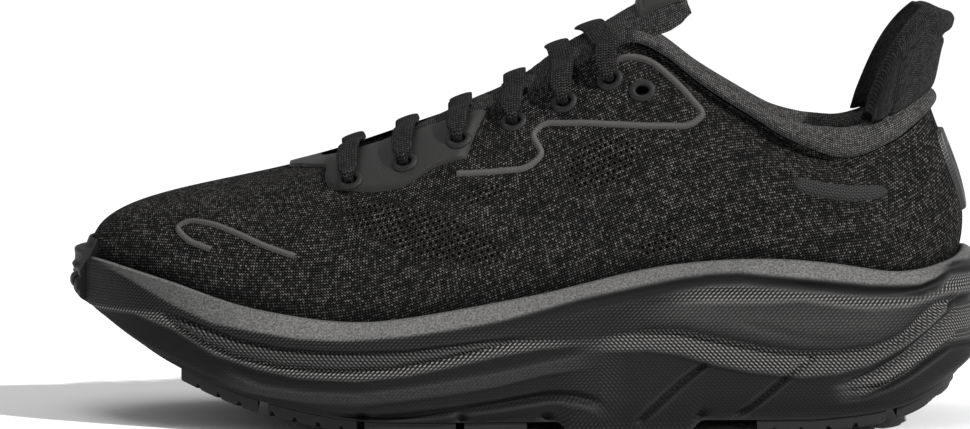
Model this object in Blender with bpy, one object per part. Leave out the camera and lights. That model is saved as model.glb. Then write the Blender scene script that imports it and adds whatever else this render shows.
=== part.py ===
"""A left running shoe: toe toward -X, heel toward +X, outer side toward -Y. Metres, +Z up, ground at z = 0.

Every loop around the shoe is followed by one number: 0 at the toe, up to 1 at the heel along the
outer side, and on to 2 at the toe again along the inner side.
"""

import functools
import math

import bpy
import numpy as np

MM = 0.001

# Overall sizes
LENGTH = 307 * MM
BALL_WIDTH = 114 * MM
COLLAR_RISE = 64 * MM  # the knit's top edge above the foam's rim, at the heel
TABLE_LENGTH = 307 * MM  # the overall sizes that the tables below are written for
TABLE_WIDTH = 114 * MM
TABLE_RISE = 64 * MM
GAP = 0.3 * MM  # clearance between neighbouring pieces

# Sole
RUBBER = 4 * MM
BUMPER = 2.6 * MM  # rubber up the toe's front
TOE_WRAP_INSETS = (28 * MM, 22 * MM, 16 * MM, 10.5 * MM)  # rows of the toe rubber under the foam
TOE_CAP = (0.05, 0.10)  # rows of the toe rubber on the knit, in shares of its height
HEEL_FOAM = 32 * MM
TOE_FOAM = 24 * MM
LIP = 2.6 * MM
BOARD = 1.6 * MM
WAIST_CLEAR = 0.4 * MM  # the waist's foam above the ground
LINER = 4.6 * MM

# Upper
KNIT = 2.2 * MM
FILM = 0.8 * MM
KNIT_BEND = 45 * MM  # radius of the knit's bend across a strip
COUNTER = 1.4 * MM
COLLAR_HEIGHT = 11 * MM
COLLAR_THICK = 9.5 * MM
LINING = 40 * MM  # depth of the collar's lining at the heel
TAB_HEIGHT = 24.5 * MM
TAB_REACH = 0.155  # loop positions that the tab reaches on each side of the heel
TAB_THICK = 8 * MM

# Tongue and lacing
TONGUE_THICK = 5.5 * MM
TUCK = 7.5 * MM  # depth of the tongue below the knit's edge at the slot's sides
LABEL_THICK = 1.2 * MM
LACE_WIDTH = 8.0 * MM
LACE_THICK = 1.3 * MM
LACE_IN_HOLE = 2.7 * MM
AGLET = 2.4 * MM
EYELET_HOLE = (2.5 * MM, 1.9 * MM)  # half lengths
EYELET_BAND = 2.0 * MM

# Shapes around the shoe, as (loop position, outer side, inner side)
OUTLINE = (  # plan outline of the foam, in shares of the ball width
    (0.00, 0.085, 0.085),
    (0.10, -0.105, 0.285),
    (0.20, -0.305, 0.415),
    (0.30, -0.435, 0.490),
    (0.40, -0.500, 0.475),
    (0.50, -0.480, 0.400),
    (0.60, -0.435, 0.370),
    (0.70, -0.420, 0.385),
    (0.80, -0.380, 0.375),
    (0.90, -0.225, 0.225),
    (1.00, 0.0, 0.0),
)
LIFT = (  # underside of the foam above the flat of the sole
    (0.00, 36 * MM),
    (0.10, 30.5 * MM),
    (0.20, 18 * MM),
    (0.30, 6 * MM),
    (0.38, 0.4 * MM),
    (0.42, 0.0),
    (0.50, 0.0),
    (0.60, 0.0),
    (0.71, 0.0),
    (0.80, 3.5 * MM),
    (0.90, 11 * MM),
    (1.00, 15 * MM),
)
FOAM_SHARE = (  # 0 is the toe's foam thickness, 1 the heel's
    (0.00, -1.66),
    (0.10, -1.31),
    (0.20, -0.475),
    (0.30, 0.0),
    (0.40, 0.25),
    (0.50, 0.6),
    (0.60, 0.9),
    (0.70, 1.0),
    (0.80, 0.75),
    (0.90, 0.2),
    (1.00, -0.1),
)
CUP = (  # the foam's rim above the foot bed
    (0.00, 3 * MM),
    (0.10, 5 * MM),
    (0.20, 6 * MM),
    (0.30, 5.5 * MM),
    (0.40, 7 * MM),
    (0.50, 12 * MM),
    (0.60, 19.5 * MM),
    (0.70, 20 * MM),
    (0.80, 14.5 * MM),
    (0.90, 14 * MM),
    (1.00, 15.5 * MM),
)
FLARE = (  # how far the foam's side slopes, low down and at the rim, in shares of the insets below
    (0.00, 1.30, 0.30),
    (0.10, 1.15, 0.45),
    (0.20, 1.0, 0.85),
    (0.30, 1.0, 1.0),
    (0.80, 1.0, 1.0),
    (1.00, 1.6, 1.0),
)
TOPLINE = (  # top edge of the knit: position, x, distance from the middle, height above the heel's rim
    (0.00, -64 * MM, 0.0, 31 * MM),
    (0.10, -62.5 * MM, 7.5 * MM, 31 * MM),
    (0.20, -57 * MM, 12.5 * MM, 32.5 * MM),
    (0.30, -45 * MM, 16 * MM, 36.5 * MM),
    (0.40, -22 * MM, 19 * MM, 44.5 * MM),
    (0.50, 4 * MM, 22 * MM, 54 * MM),
    (0.56, 21 * MM, 23.5 * MM, 64 * MM),
    (0.60, 33 * MM, 25.5 * MM, 69 * MM),
    (0.64, 44 * MM, 28.5 * MM, 65.5 * MM),
    (0.68, 58 * MM, 32 * MM, 55 * MM),
    (0.72, 73 * MM, 35 * MM, 45.5 * MM),
    (0.76, 86 * MM, 37 * MM, 38 * MM),
    (0.81, 103 * MM, 36.5 * MM, 32 * MM),
    (0.87, 119 * MM, 31 * MM, 36 * MM),
    (0.93, 130 * MM, 19 * MM, 42.5 * MM),
    (1.00, 135.5 * MM, 0.0, 46.5 * MM),
)
WALL = (  # the foam's side from bottom to rim: share of its height, inset from the outline
    (0.00, 6.0 * MM),
    (0.07, 3.2 * MM),
    (0.20, 0.9 * MM),
    (0.36, 0.0),
    (0.52, 0.5 * MM),
    (0.60, 2.4 * MM),
    (0.66, 1.2 * MM),
    (0.84, 2.2 * MM),
    (0.86, 3.0 * MM),
    (1.00, 5.4 * MM),
)
SWELL = (  # how the upper leaves the rim and meets its top edge: position, outward, upward, drop at the top
    (0.00, 3.0 * MM, 22 * MM, 13 * MM),
    (0.20, 1.8 * MM, 23 * MM, 11 * MM),
    (0.40, 1.5 * MM, 27 * MM, 9 * MM),
    (0.60, 1.5 * MM, 24 * MM, 16 * MM),
    (0.80, 2.0 * MM, 14 * MM, 12 * MM),
    (1.00, 4.5 * MM, 17 * MM, 15 * MM),
)
COLLAR_SHARE = (  # height of the collar's roll, in shares of its height at the heel
    (0.00, 0.35),
    (0.60, 0.35),
    (0.70, 0.42),
    (0.75, 0.50),
    (0.78, 0.70),
    (0.80, 0.85),
    (0.86, 0.85),
    (1.00, 0.60),
)
TONGUE_LINE = (  # the tongue's top face along its middle: x, height above the heel's rim
    (-70 * MM, 24 * MM),
    (-62 * MM, 28.5 * MM),
    (-52 * MM, 33.5 * MM),
    (-40 * MM, 39 * MM),
    (-20 * MM, 48.3 * MM),
    (0.0, 58 * MM),
    (12.8 * MM, 67.4 * MM),
    (24.5 * MM, 74 * MM),
    (34.6 * MM, 80 * MM),
    (44 * MM, 85.5 * MM),
    (52 * MM, 89 * MM),
)
TONGUE_WIDTHS = (  # half widths along the tongue: x, half width
    (-70 * MM, 7 * MM),
    (-40 * MM, 17 * MM),
    (0.0, 20.3 * MM),
    (12 * MM, 19.2 * MM),
    (30 * MM, 19.2 * MM),
    (38 * MM, 19.3 * MM),
    (46 * MM, 20 * MM),
    (52 * MM, 16 * MM),
)
FOREFOOT_PODS = (  # stretches of the sole's length, as loop positions
    (0.216, 0.295),
    (0.304, 0.376),
    (0.382, 0.449),
    (0.455, 0.498),
)
TOE_WRAP = 0.062  # loop positions that the toe's rubber reaches on each side
HEEL_POD = (0.663, 0.785)
WAIST = (0.518, 0.622)
REAR_POD = (0.800, 0.955)
EYELETS = (  # eyelet centres on a side, front to back: x and height above the heel's rim
    (-58 * MM, 23.5 * MM),
    (-40 * MM, 29.5 * MM),
    (-22.3 * MM, 37 * MM),
    (-4.3 * MM, 43.5 * MM),
    (12.4 * MM, 50 * MM),
    (27.5 * MM, 57.5 * MM),
    (38 * MM, 54 * MM),
)
EYESTAY_WELD = (  # the raised outline under the lacing on a side: x, height above the heel's rim
    (-23 * MM, 27 * MM),
    (-8 * MM, 28 * MM),
    (0.5 * MM, 29.5 * MM),
    (4.6 * MM, 33.5 * MM),
    (2.2 * MM, 39.5 * MM),
    (5 * MM, 42.5 * MM),
    (12 * MM, 43.3 * MM),
    (30 * MM, 43 * MM),
    (46 * MM, 42.6 * MM),
    (54 * MM, 43.2 * MM),
    (57.6 * MM, 46.5 * MM),
    (54.5 * MM, 51 * MM),
    (46 * MM, 59.5 * MM),
    (41.5 * MM, 63 * MM),
    (37 * MM, 64.6 * MM),
    (32 * MM, 64.6 * MM),
    (28.5 * MM, 63.2 * MM),
)
TOE_WELD = (  # the hooked line on the side of the toe
    (-76 * MM, 0 * MM),
    (-87 * MM, 3.5 * MM),
    (-97 * MM, 7.5 * MM),
    (-106 * MM, 10 * MM),
    (-112.5 * MM, 10 * MM),
    (-115.5 * MM, 8 * MM),
    (-113.5 * MM, 5.5 * MM),
    (-104 * MM, 1.5 * MM),
)
FILM_DEPTH = (  # the vamp film's lower edge: loop position, v
    (0.00, 0.88),
    (0.15, 0.87),
    (0.26, 0.80),
    (0.31, 0.61),
    (0.36, 0.56),
    (0.39, 0.56),
    (0.41, 0.64),
    (0.44, 0.66),
)
SIDE_BAR = (  # the plain embroidered bar near the heel
    (88 * MM, 24 * MM),
    (96 * MM, 22 * MM),
    (108 * MM, 20.5 * MM),
    (119 * MM, 21 * MM),
)
FILMED = 3  # eyelets from the front that sit on the vamp film
BAR_LEAN = (0.0, 0.0, 0.0, 0.0, -3 * MM, -8 * MM)  # how far forward each bar's middle lies
LACED = 6  # eyelets from the front that hold a bar of lace; the last stays empty

SIDE_STEPS = 32  # stations from toe to heel on each side
UPPER_STEPS = 34
UPPER_ROWS = 11

HALF = (LENGTH - BUMPER) / 2
MIDDLE_X = BUMPER / 2
X_SCALE = LENGTH / TABLE_LENGTH
Y_SCALE = BALL_WIDTH / TABLE_WIDTH
UP = np.array((0.0, 0.0, 1.0))


def clear_scene():
    for obj in list(bpy.data.objects):
        bpy.data.objects.remove(obj, do_unlink=True)


def material(name, colour, roughness, metallic=0.0):
    made = bpy.data.materials.new(name)
    made.use_nodes = True
    shader = made.node_tree.nodes["Principled BSDF"]
    shader.inputs["Base Color"].default_value = (*colour, 1.0)
    shader.inputs["Roughness"].default_value = roughness
    shader.inputs["Metallic"].default_value = metallic
    made.diffuse_color = (*colour, 1.0)
    return made


# Curves that go all the way round


def hermite(at, knots, values):
    """A smooth curve through unevenly spaced knots."""
    slopes = np.gradient(values, knots, axis=0)
    i = np.clip(np.searchsorted(knots, at, side="right") - 1, 0, len(knots) - 2)
    step = knots[i + 1] - knots[i]
    s = (at - knots[i]) / step
    if values.ndim > 1:
        s, step = s[..., None], step[..., None]
    a, b = values[i], values[i + 1]
    m, n = slopes[i] * step, slopes[i + 1] * step
    return a + s * m + s * s * (3 * (b - a) - 2 * m - n) + s**3 * (2 * (a - b) + m + n)


def around(at, knots, outer, inner):
    """A smooth closed curve of the loop position, from its values on the two sides."""
    knots = np.concatenate([knots, 2 - knots[-2:0:-1]])
    values = np.concatenate([outer, inner[-2:0:-1]])
    knots = np.concatenate([knots[-2:] - 2, knots, knots[:2] + 2])
    values = np.concatenate([values[-2:], values, values[:2]])
    return hermite(np.mod(np.asarray(at, float), 2.0), knots, values)


def column(at, rows, index=1, inner=None):
    table = np.array(rows)
    return around(at, table[:, 0], table[:, index], table[:, inner or index])


def outline(at, inset=0.0):
    """Plan points of the foam's outline, moved inward by the inset."""
    at = np.asarray(at, float)

    def plain(t):
        x = MIDDLE_X - HALF * np.cos(np.pi * t)
        y = BALL_WIDTH * column(t, OUTLINE, 1, 2)
        return np.stack([x, y], -1)

    tangent = plain(at + 1e-3) - plain(at - 1e-3)
    tangent /= np.linalg.norm(tangent, axis=-1, keepdims=True)
    outward = np.stack([tangent[..., 1], -tangent[..., 0]], -1)
    return plain(at) - outward * np.asarray(inset)[..., None], outward


def underside(at):
    return RUBBER + GAP + np.maximum(column(at, LIFT), 0.0)


def waist_drop(at):
    """How far the foam reaches down towards the ground between the forefoot and heel pods."""
    at = np.minimum(np.mod(at, 2), 2 - np.mod(at, 2))
    share = np.clip(np.minimum(at - WAIST[0], WAIST[1] - at) / 0.012, 0, 1)
    return (RUBBER + GAP - WAIST_CLEAR) * share * share * (3 - 2 * share)


def foot_bed(at):
    return underside(at) + TOE_FOAM + (HEEL_FOAM - TOE_FOAM) * column(at, FOAM_SHARE)


def rim(at):
    return foot_bed(at) + column(at, CUP)


def raised(plan, height):
    height = np.broadcast_to(height, plan.shape[:-1])
    return np.concatenate([plan, height[..., None]], -1)


def ring(at, inset, height):
    return raised(outline(at, inset)[0], height)


def wall_inset(at, share, inset):
    return inset * (column(at, FLARE, 1) * (1 - share) + column(at, FLARE, 2) * share)


def cup_inset(at):
    """The inner wall of the foam's rim."""
    return wall_inset(at, *WALL[-1]) + LIP


RIM_HEEL = float(rim(1.0))


def topline(at):
    table = np.array(TOPLINE)
    y = around(at, table[:, 0], -table[:, 2], table[:, 2]) * Y_SCALE
    x = column(at, TOPLINE, 1)
    front, back = table[0, 1], table[-1, 1]
    rise = (COLLAR_RISE - TABLE_RISE) * np.clip((x - front) / (back - front), 0, 1)
    return np.stack([x * X_SCALE, y, RIM_HEEL + column(at, TOPLINE, 3) + rise], -1)


def upper(at, v):
    """Outer surface of the knit: v is 0 at the rim and 1 at the top edge, and below 0 down in the cup."""
    at, v = np.broadcast_arrays(np.asarray(at, float), np.asarray(v, float))
    plan, outward = outline(at, cup_inset(at) + GAP)
    foot = raised(plan, rim(at))
    top = topline(at)
    out = np.concatenate([outward, np.zeros_like(outward[..., :1])], -1)
    lean = 0.52 * (foot - top)
    lean[..., 2] = 0.0
    low = foot + out * column(at, SWELL, 1)[..., None] + UP * column(at, SWELL, 2)[..., None]
    high = top + lean - UP * column(at, SWELL, 3)[..., None]
    w = np.clip(v, 0, 1)[..., None]
    curve = (1 - w) ** 3 * foot + 3 * w * (1 - w) ** 2 * low + 3 * w * w * (1 - w) * high + w**3 * top
    sink = np.clip(-v, 0, 1) * (rim(at) - foot_bed(at) - GAP)
    return curve - UP * sink[..., None]


def upper_normal(at, v):
    v = np.clip(v, 0.0, 1.0)
    across = upper(at + 2e-3, v) - upper(at - 2e-3, v)
    rising = upper(at, np.minimum(v + 4e-3, 1)) - upper(at, np.maximum(v - 4e-3, 0))
    normal = np.cross(across, rising)
    return normal / np.linalg.norm(normal, axis=-1, keepdims=True)


def on_upper(at, v, off=0.0):
    return upper(at, v) + upper_normal(at, v) * np.asarray(off)[..., None]


def find_on_side(x, z, side):
    """The surface coordinates of the point of the outer (-1) or inner (+1) side with this x and height."""
    at, v = np.meshgrid(np.linspace(0.02, 0.98, 97), np.linspace(0.0, 1.0, 41), indexing="ij")
    if side > 0:
        at = 2 - at
    points = upper(at, v)
    nearest = np.unravel_index(np.argmin((points[..., 0] - x) ** 2 + (points[..., 2] - z) ** 2), at.shape)
    a, b = float(at[nearest]), float(v[nearest])
    for _ in range(12):
        here = upper(a, b)
        da = (upper(a + 1e-4, b) - here) / 1e-4
        db = (upper(a, b + 1e-4) - here) / 1e-4
        grid = np.array([[da[0], db[0]], [da[2], db[2]]])
        step = np.linalg.solve(grid, [x - here[0], z - here[2]])
        a, b = a + np.clip(step[0], -0.05, 0.05), b + np.clip(step[1], -0.1, 0.1)
    return a, b


# Mesh makers


def add(name, verts, faces, mat, smooth=True):
    mesh = bpy.data.meshes.new(name)
    mesh.from_pydata([tuple(map(float, p)) for p in verts], [], faces)
    mesh.materials.append(mat)
    if smooth:
        mesh.polygons.foreach_set("use_smooth", [True] * len(mesh.polygons))
        mesh.set_sharp_from_angle(angle=math.radians(40))
    obj = bpy.data.objects.new(name, mesh)
    bpy.context.scene.collection.objects.link(obj)
    return obj


def tube_faces(rings, size, closed=False):
    """Quads between successive loops of the same size."""
    faces = []
    for r in range(rings if closed else rings - 1):
        a, b = r * size, ((r + 1) % rings) * size
        for i in range(size):
            j = (i + 1) % size
            faces.append((a + i, a + j, b + j, b + i))
    return faces


def cross_cap(loop, verts, across, upward):
    """Fills a loop of vertex numbers, toe first, with rows from its outer to its inner side."""
    half = len(loop) // 2
    rows = [[loop[0]]]
    for i in range(1, half):
        left, right = loop[i], loop[-i]
        row = [left]
        for k in range(1, across):
            row.append(len(verts))
            verts.append(verts[left] + (verts[right] - verts[left]) * k / across)
        rows.append(row + [right])
    rows.append([loop[half]])
    faces = []
    for a, b in zip(rows, rows[1:]):
        for k in range(across):
            corners = [a[min(k, len(a) - 1)], b[min(k, len(b) - 1)]]
            corners += [b[min(k + 1, len(b) - 1)], a[min(k + 1, len(a) - 1)]]
            corners = list(dict.fromkeys(corners))
            faces.append(tuple(corners if upward else corners[::-1]))
    return faces


def capped_rings(name, rings, across, mat):
    """A closed body of loops from its bottom edge to its top edge, capped by rows across it."""
    size = len(rings[0])
    verts = [p for loop in rings for p in loop]
    faces = tube_faces(len(rings), size)
    faces += cross_cap(list(range(size)), verts, across, False)
    top = (len(rings) - 1) * size
    faces += cross_cap(list(range(top, top + size)), verts, across, True)
    return add(name, verts, faces, mat)


def slab(name, top, bottom, mat):
    """A closed body between two grids of points, the first seen from outside."""
    rows, cols = top.shape[:2]
    verts = list(top.reshape(-1, 3)) + list(bottom.reshape(-1, 3))
    under = rows * cols
    faces = []
    for r in range(rows - 1):
        for c in range(cols - 1):
            a = r * cols + c
            quad = (a, a + 1, a + cols + 1, a + cols)
            faces += [quad, tuple(under + q for q in quad[::-1])]
    edge = [c for c in range(cols)] + [r * cols + cols - 1 for r in range(1, rows)]
    edge += [(rows - 1) * cols + c for c in range(cols - 2, -1, -1)]
    edge += [r * cols for r in range(rows - 2, 0, -1)]
    for a, b in zip(edge, edge[1:] + edge[:1]):
        faces.append((b, a, under + a, under + b))
    return turned_out(add(name, verts, faces, mat))


def swept(name, sections, mat, closed=False):
    """A closed body of successive cross-sections."""
    size = len(sections[0])
    verts = [p for section in sections for p in section]
    faces = tube_faces(len(sections), size, closed)
    if not closed:
        faces += [tuple(range(size))[::-1], tuple(range(len(verts) - size, len(verts)))]
    return turned_out(add(name, verts, faces, mat))


def turned_out(obj):
    """Turns every face outward, going by the volume the faces enclose."""
    mesh = obj.data
    mesh.calc_loop_triangles()
    points = np.array([v.co[:] for v in mesh.vertices])
    corners = points[np.array([t.vertices[:] for t in mesh.loop_triangles])]
    if np.linalg.det(corners).sum() < 0:
        mesh.flip_normals()
    return obj


def strip(name, path, width, thick, mat, off=None, side=-1):
    """A flat strip on the upper along points (x, height), as welded film lies."""
    off = GAP if off is None else off
    spots = np.array([find_on_side(x, z, side) for x, z in path])
    middle = on_upper(spots[:, 0], spots[:, 1])
    normal = upper_normal(spots[:, 0], spots[:, 1])
    along = np.gradient(middle, axis=0)
    sideways = np.cross(normal, along)
    sideways /= np.linalg.norm(sideways, axis=-1, keepdims=True)
    lift = off + width**2 / (8 * KNIT_BEND)
    sections = []
    for p, n, s in zip(middle, normal, sideways):
        low, high = p + n * lift, p + n * (lift + thick)
        half = s * width / 2
        sections.append([low - half, low + half, high + half, high - half])
    return swept(name, sections, mat)


def smooth_path(points, per=4):
    """Points on a smooth open curve through the given ones."""
    points = np.array(points, float)
    knots = np.concatenate([[0], np.cumsum(np.linalg.norm(np.diff(points, axis=0), axis=1))])
    at = np.interp(np.arange((len(points) - 1) * per + 1) / per, np.arange(len(points)), knots)
    return hermite(at, knots, points)


# Sole


def loop_positions(steps):
    return np.arange(2 * steps) / steps


def make_midsole(mat):
    t = loop_positions(SIDE_STEPS)
    low, high = underside(t), rim(t)
    rings = [ring(t, wall_inset(t, share, inset), low + share * (high - low)) for share, inset in WALL]
    rings[0][:, 2] -= waist_drop(t)
    cup = cup_inset(t)
    rings.append(ring(t, cup, high - 0.4 * MM))
    rings.append(ring(t, cup, foot_bed(t)))
    return capped_rings("midsole", rings, 6, mat)


def bottom_point(u, share):
    """A point of the foam's underside: u from toe to heel, share 0 at the outer edge to 1 at the inner."""
    u, share = np.broadcast_arrays(np.asarray(u, float), np.asarray(share, float))
    inset = wall_inset(u, *WALL[0])
    outer = ring(u, inset, underside(u))
    inner = ring(2 - u, inset, underside(u))
    return outer + (inner - outer) * share[..., None]


def make_pod(name, u_range, shares, mat):
    """A rubber pod under the foam, over a stretch of its length and width."""
    u, share = np.meshgrid(np.linspace(*u_range, 9), np.linspace(*shares, 5), indexing="ij")
    top = bottom_point(u, share) - UP * GAP
    edge = np.zeros(u.shape)
    edge[0, :] = edge[-1, :] = edge[:, 0] = edge[:, -1] = 1
    middle = top.mean(axis=(0, 1))
    bottom = top - UP * RUBBER
    taper = (middle - bottom) * edge[..., None] * 0.05
    taper[..., 2] = 0.0
    return slab(name, top, bottom + taper, mat)


def make_toe_rubber(mat):
    """The rubber under the toe, wrapped up the front of the foam as a bumper."""
    t = np.linspace(-TOE_WRAP, TOE_WRAP, 19)
    low, high = underside(t), rim(t)
    inner, outer = [], []
    for inset in TOE_WRAP_INSETS:
        plan = outline(t, inset)[0]
        u = np.interp(plan[:, 0], bottom_point(np.linspace(0, 0.5, 60), 0.5)[:, 0], np.linspace(0, 0.5, 60))
        base = raised(plan, underside(u) - 2 * GAP)
        inner.append(base)
        outer.append(base - UP * 0.8 * RUBBER)
    for share, inset in WALL[1:]:
        height = low + share * (high - low)
        side = wall_inset(t, share, inset)
        inner.append(ring(t, side - GAP, height))
        outer.append(ring(t, side - GAP - BUMPER, height))
    inner.append(ring(t, wall_inset(t, *WALL[-1]) - GAP, high + 1.5 * GAP))
    outer.append(ring(t, wall_inset(t, *WALL[-1]) - GAP - BUMPER, high + 2.5 * MM))
    for v, share in zip(TOE_CAP, (0.75, 0.35)):
        inner.append(on_upper(t, v, 1.6 * GAP))
        outer.append(on_upper(t, v, 1.6 * GAP + BUMPER * share))
    return slab("outsole_toe", np.array(outer), np.array(inner), mat)


def make_outsole(rubber):
    make_toe_rubber(rubber)
    for number, stretch in enumerate(FOREFOOT_PODS, 1):
        make_pod(f"outsole_forefoot_outer_{number}", stretch, (0.0, 0.44), rubber)
        make_pod(f"outsole_forefoot_inner_{number}", stretch, (0.56, 1.0), rubber)
    make_pod("outsole_heel_outer", HEEL_POD, (0.0, 0.36), rubber)
    make_pod("outsole_heel_inner", HEEL_POD, (0.64, 1.0), rubber)
    make_pod("outsole_heel_rear", REAR_POD, (0.02, 0.98), rubber)


def make_insoles(board, foam):
    t = loop_positions(SIDE_STEPS)
    bed = foot_bed(t)
    inset = cup_inset(t) + KNIT + COUNTER + 5 * GAP
    sheet = [ring(t, inset, bed + GAP), ring(t, inset, bed + GAP + BOARD)]
    capped_rings("strobel_board", sheet, 6, board)
    low = bed + 2 * GAP + BOARD
    inset += 0.5 * MM
    heights = ((inset + 0.8 * MM, 0.0), (inset, 0.35), (inset, 0.85), (inset + 0.8 * MM, 1.0))
    capped_rings("sockliner", [ring(t, i, low + share * LINER) for i, share in heights], 6, foam)


# Upper


def make_upper(mat, cutters):
    t = loop_positions(UPPER_STEPS)
    v = np.concatenate([[-1.0], np.linspace(0, 1, UPPER_ROWS) ** 0.9])
    outer = [upper(t, row) for row in v]
    inner = [on_upper(t, row, -KNIT) for row in v]
    inner[0] = inner[1].copy()
    inner[0][:, 2] = outer[0][:, 2]
    inner[-1][:, 2] = np.minimum(inner[-1][:, 2], outer[-1][:, 2])
    size = len(t)
    loops = outer + inner[::-1]
    verts = [p for loop in loops for p in loop]
    obj = turned_out(add("knit_upper", verts, tube_faces(len(loops), size, True), mat))
    cut_holes(obj, cutters)
    return obj


@functools.lru_cache(maxsize=None)
def eyelet_spot(number, side):
    x, z = EYELETS[number]
    return find_on_side(x * X_SCALE, z + RIM_HEEL, side)


@functools.lru_cache(maxsize=None)
def eyelet_frame(number, side):
    """Centre, outward normal, and the directions along and across of an eyelet."""
    a, b = eyelet_spot(number, side)
    centre, normal = upper(a, b), upper_normal(a, b)
    along = upper(a + side * -1e-3, b) - centre
    along -= normal * (along @ normal)
    along /= np.linalg.norm(along)
    return centre, normal, along, np.cross(normal, along)


def eyelet_lift(number):
    """Height of an eyelet ring's underside above the knit: the front ones sit on the vamp film."""
    return 1.9 * GAP + (FILM + GAP if number < FILMED else 0)


def oval(centre, along, across, half, count=14):
    turn = 2 * math.pi * np.arange(count) / count
    return centre + np.outer(np.cos(turn) * half[0], along) + np.outer(np.sin(turn) * half[1], across)


def make_eyelets(mat):
    """The rings round the holes, and one mesh of plugs that cuts the holes."""
    verts, faces = [], []
    for side, word in ((-1, "outer"), (1, "inner")):
        for number in range(len(EYELETS)):
            centre, normal, along, across = eyelet_frame(number, side)
            wide = tuple(h + EYELET_BAND for h in EYELET_HOLE)
            low = centre + normal * eyelet_lift(number)
            high = low + normal * FILM
            loops = [oval(low, along, across, EYELET_HOLE), oval(low, along, across, wide)]
            loops += [oval(high, along, across, wide), oval(high, along, across, EYELET_HOLE)]
            swept(f"eyelet_{word}_{number + 1}", loops, mat, closed=True)
            start = len(verts)
            reach = (-2.2 * KNIT, KNIT + FILM)
            plug = [oval(centre + normal * d, along, across, EYELET_HOLE) for d in reach]
            verts += [p for loop in plug for p in loop]
            size = len(plug[0])
            faces += [tuple(start + i for i in face) for face in tube_faces(2, size)]
            near = tuple(start + i for i in range(size))
            faces += [near[::-1], tuple(size + i for i in near)]
    cutters = turned_out(add("eyelet_cutters", verts, faces, mat, smooth=False))
    cutters.hide_render = True
    cutters.display_type = "WIRE"
    return cutters


def make_collar(mat):
    """The padded collar: a roll on the knit's top edge with the lining hanging inside it."""
    t = np.linspace(0.605, 1.395, 41)
    top = topline(t)
    ahead = topline(t + 1e-3) - topline(t - 1e-3)
    inward = np.cross(UP, ahead)
    inward /= np.linalg.norm(inward, axis=-1, keepdims=True)
    share = np.clip(1 - abs(t - 1) / 0.395, 0, 1)
    height = COLLAR_HEIGHT * column(t, COLLAR_SHARE)
    drop = LINING * np.clip(0.12 + share * 1.5, 0, 1)
    thick = COLLAR_THICK * (0.45 + 0.55 * np.minimum(1, share * 2.2))
    profile = (  # share of the thickness inward, share of the height up, share of the drop down
        (-0.02, 0.0, 0.0),
        (-0.20, 0.30, 0.0),
        (-0.16, 0.66, 0.0),
        (0.12, 0.95, 0.0),
        (0.45, 1.0, 0.0),
        (0.82, 0.72, 0.0),
        (1.00, 0.25, 0.0),
        (0.97, 0.0, 0.35),
        (0.70, 0.0, 0.80),
    )
    clear = KNIT + 4.5 * GAP
    sections = []
    for p, n, h, d, w in zip(top, inward, height, drop, thick):
        rows = [p + n * w * a + UP * (1.8 * GAP + h * b - d * c) for a, b, c in profile]
        rows += [p + n * (clear + 2.4 * MM) - UP * d, p + n * (clear + 1.8 * MM) - UP * d * 0.9]
        rows.append(p + n * clear + UP * 1.8 * GAP)
        sections.append(rows)
    return swept("collar", sections, mat)


def tab_height(side):
    """Height of the heel tab above the collar, from its middle (0) to its front edges (1)."""
    fall = 0.08 + 0.92 * np.clip(1 - side**6, 0, 1) ** 0.6
    return TAB_HEIGHT * fall * (1 + 0.30 * np.minimum(side / 0.6, 1) ** 2)


def make_heel_tab(mat):
    """The flared tab above the collar's back, wrapped round the heel."""
    t = np.linspace(1 - TAB_REACH, 1 + TAB_REACH, 21)
    top = topline(t)
    ahead = topline(t + 1e-3) - topline(t - 1e-3)
    inward = np.cross(UP, ahead)
    inward /= np.linalg.norm(inward, axis=-1, keepdims=True)
    side = abs(t - 1) / TAB_REACH
    height = tab_height(side)
    lift = COLLAR_HEIGHT * column(t, COLLAR_SHARE) + 3.6 * GAP
    base = top + UP * lift[:, None] - inward * (0.10 * TAB_THICK)
    sections = []
    for p, n, h, s in zip(base, inward, height, side):
        flare = np.array((0.30 - 0.08 * s * s, 0.0, 0.0)) * h
        tip = p + UP * h + flare + n * TAB_THICK * 0.15
        middle = p + UP * h * 0.5 + flare * 0.35
        w = TAB_THICK
        rim_drop = UP * min(1.4 * MM, h * 0.3)
        sections.append([
            p, p + n * w * 0.5, p + n * w, middle + n * w, tip + n * w * 0.85 - rim_drop,
            tip + n * w * 0.42, tip - rim_drop, middle - n * 0.4 * MM,
        ])
    return swept("heel_tab", sections, mat)


def inner_shell(name, t, v, thick, mat):
    a, b = np.meshgrid(t, v, indexing="ij")
    outer = on_upper(a, b, -(KNIT + 2.5 * GAP))
    inner = on_upper(a, b, -(KNIT + 2.5 * GAP + thick))
    return slab(name, outer, inner, mat)


def make_overlays(film, thread, bright, cutters):
    """Welds, patches and the vamp film, a clearance above the knit."""
    for side, word in ((-1, "outer"), (1, "inner")):
        for name, route, width, mat in (
            ("eyestay_weld", EYESTAY_WELD, 2.0 * MM, film),
            ("toe_weld", TOE_WELD, 2.0 * MM, film),
            ("side_bar", SIDE_BAR, 5.0 * MM, thread),
        ):
            points = smooth_path([(x * X_SCALE, z + RIM_HEEL) for x, z in route], 3)
            strip(f"{name}_{word}", points, width, FILM, mat, side=side)
    back = np.linspace(0.955, 1.045, 9)
    patch_on_upper("heel_panel", back, ((0.0, 0.25),), FILM, bright, 0.86)
    front = patch_on_upper("vamp_film", np.linspace(-0.44, 0.44, 51), FILM_DEPTH, FILM, film)
    cut_holes(front, cutters)


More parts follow.
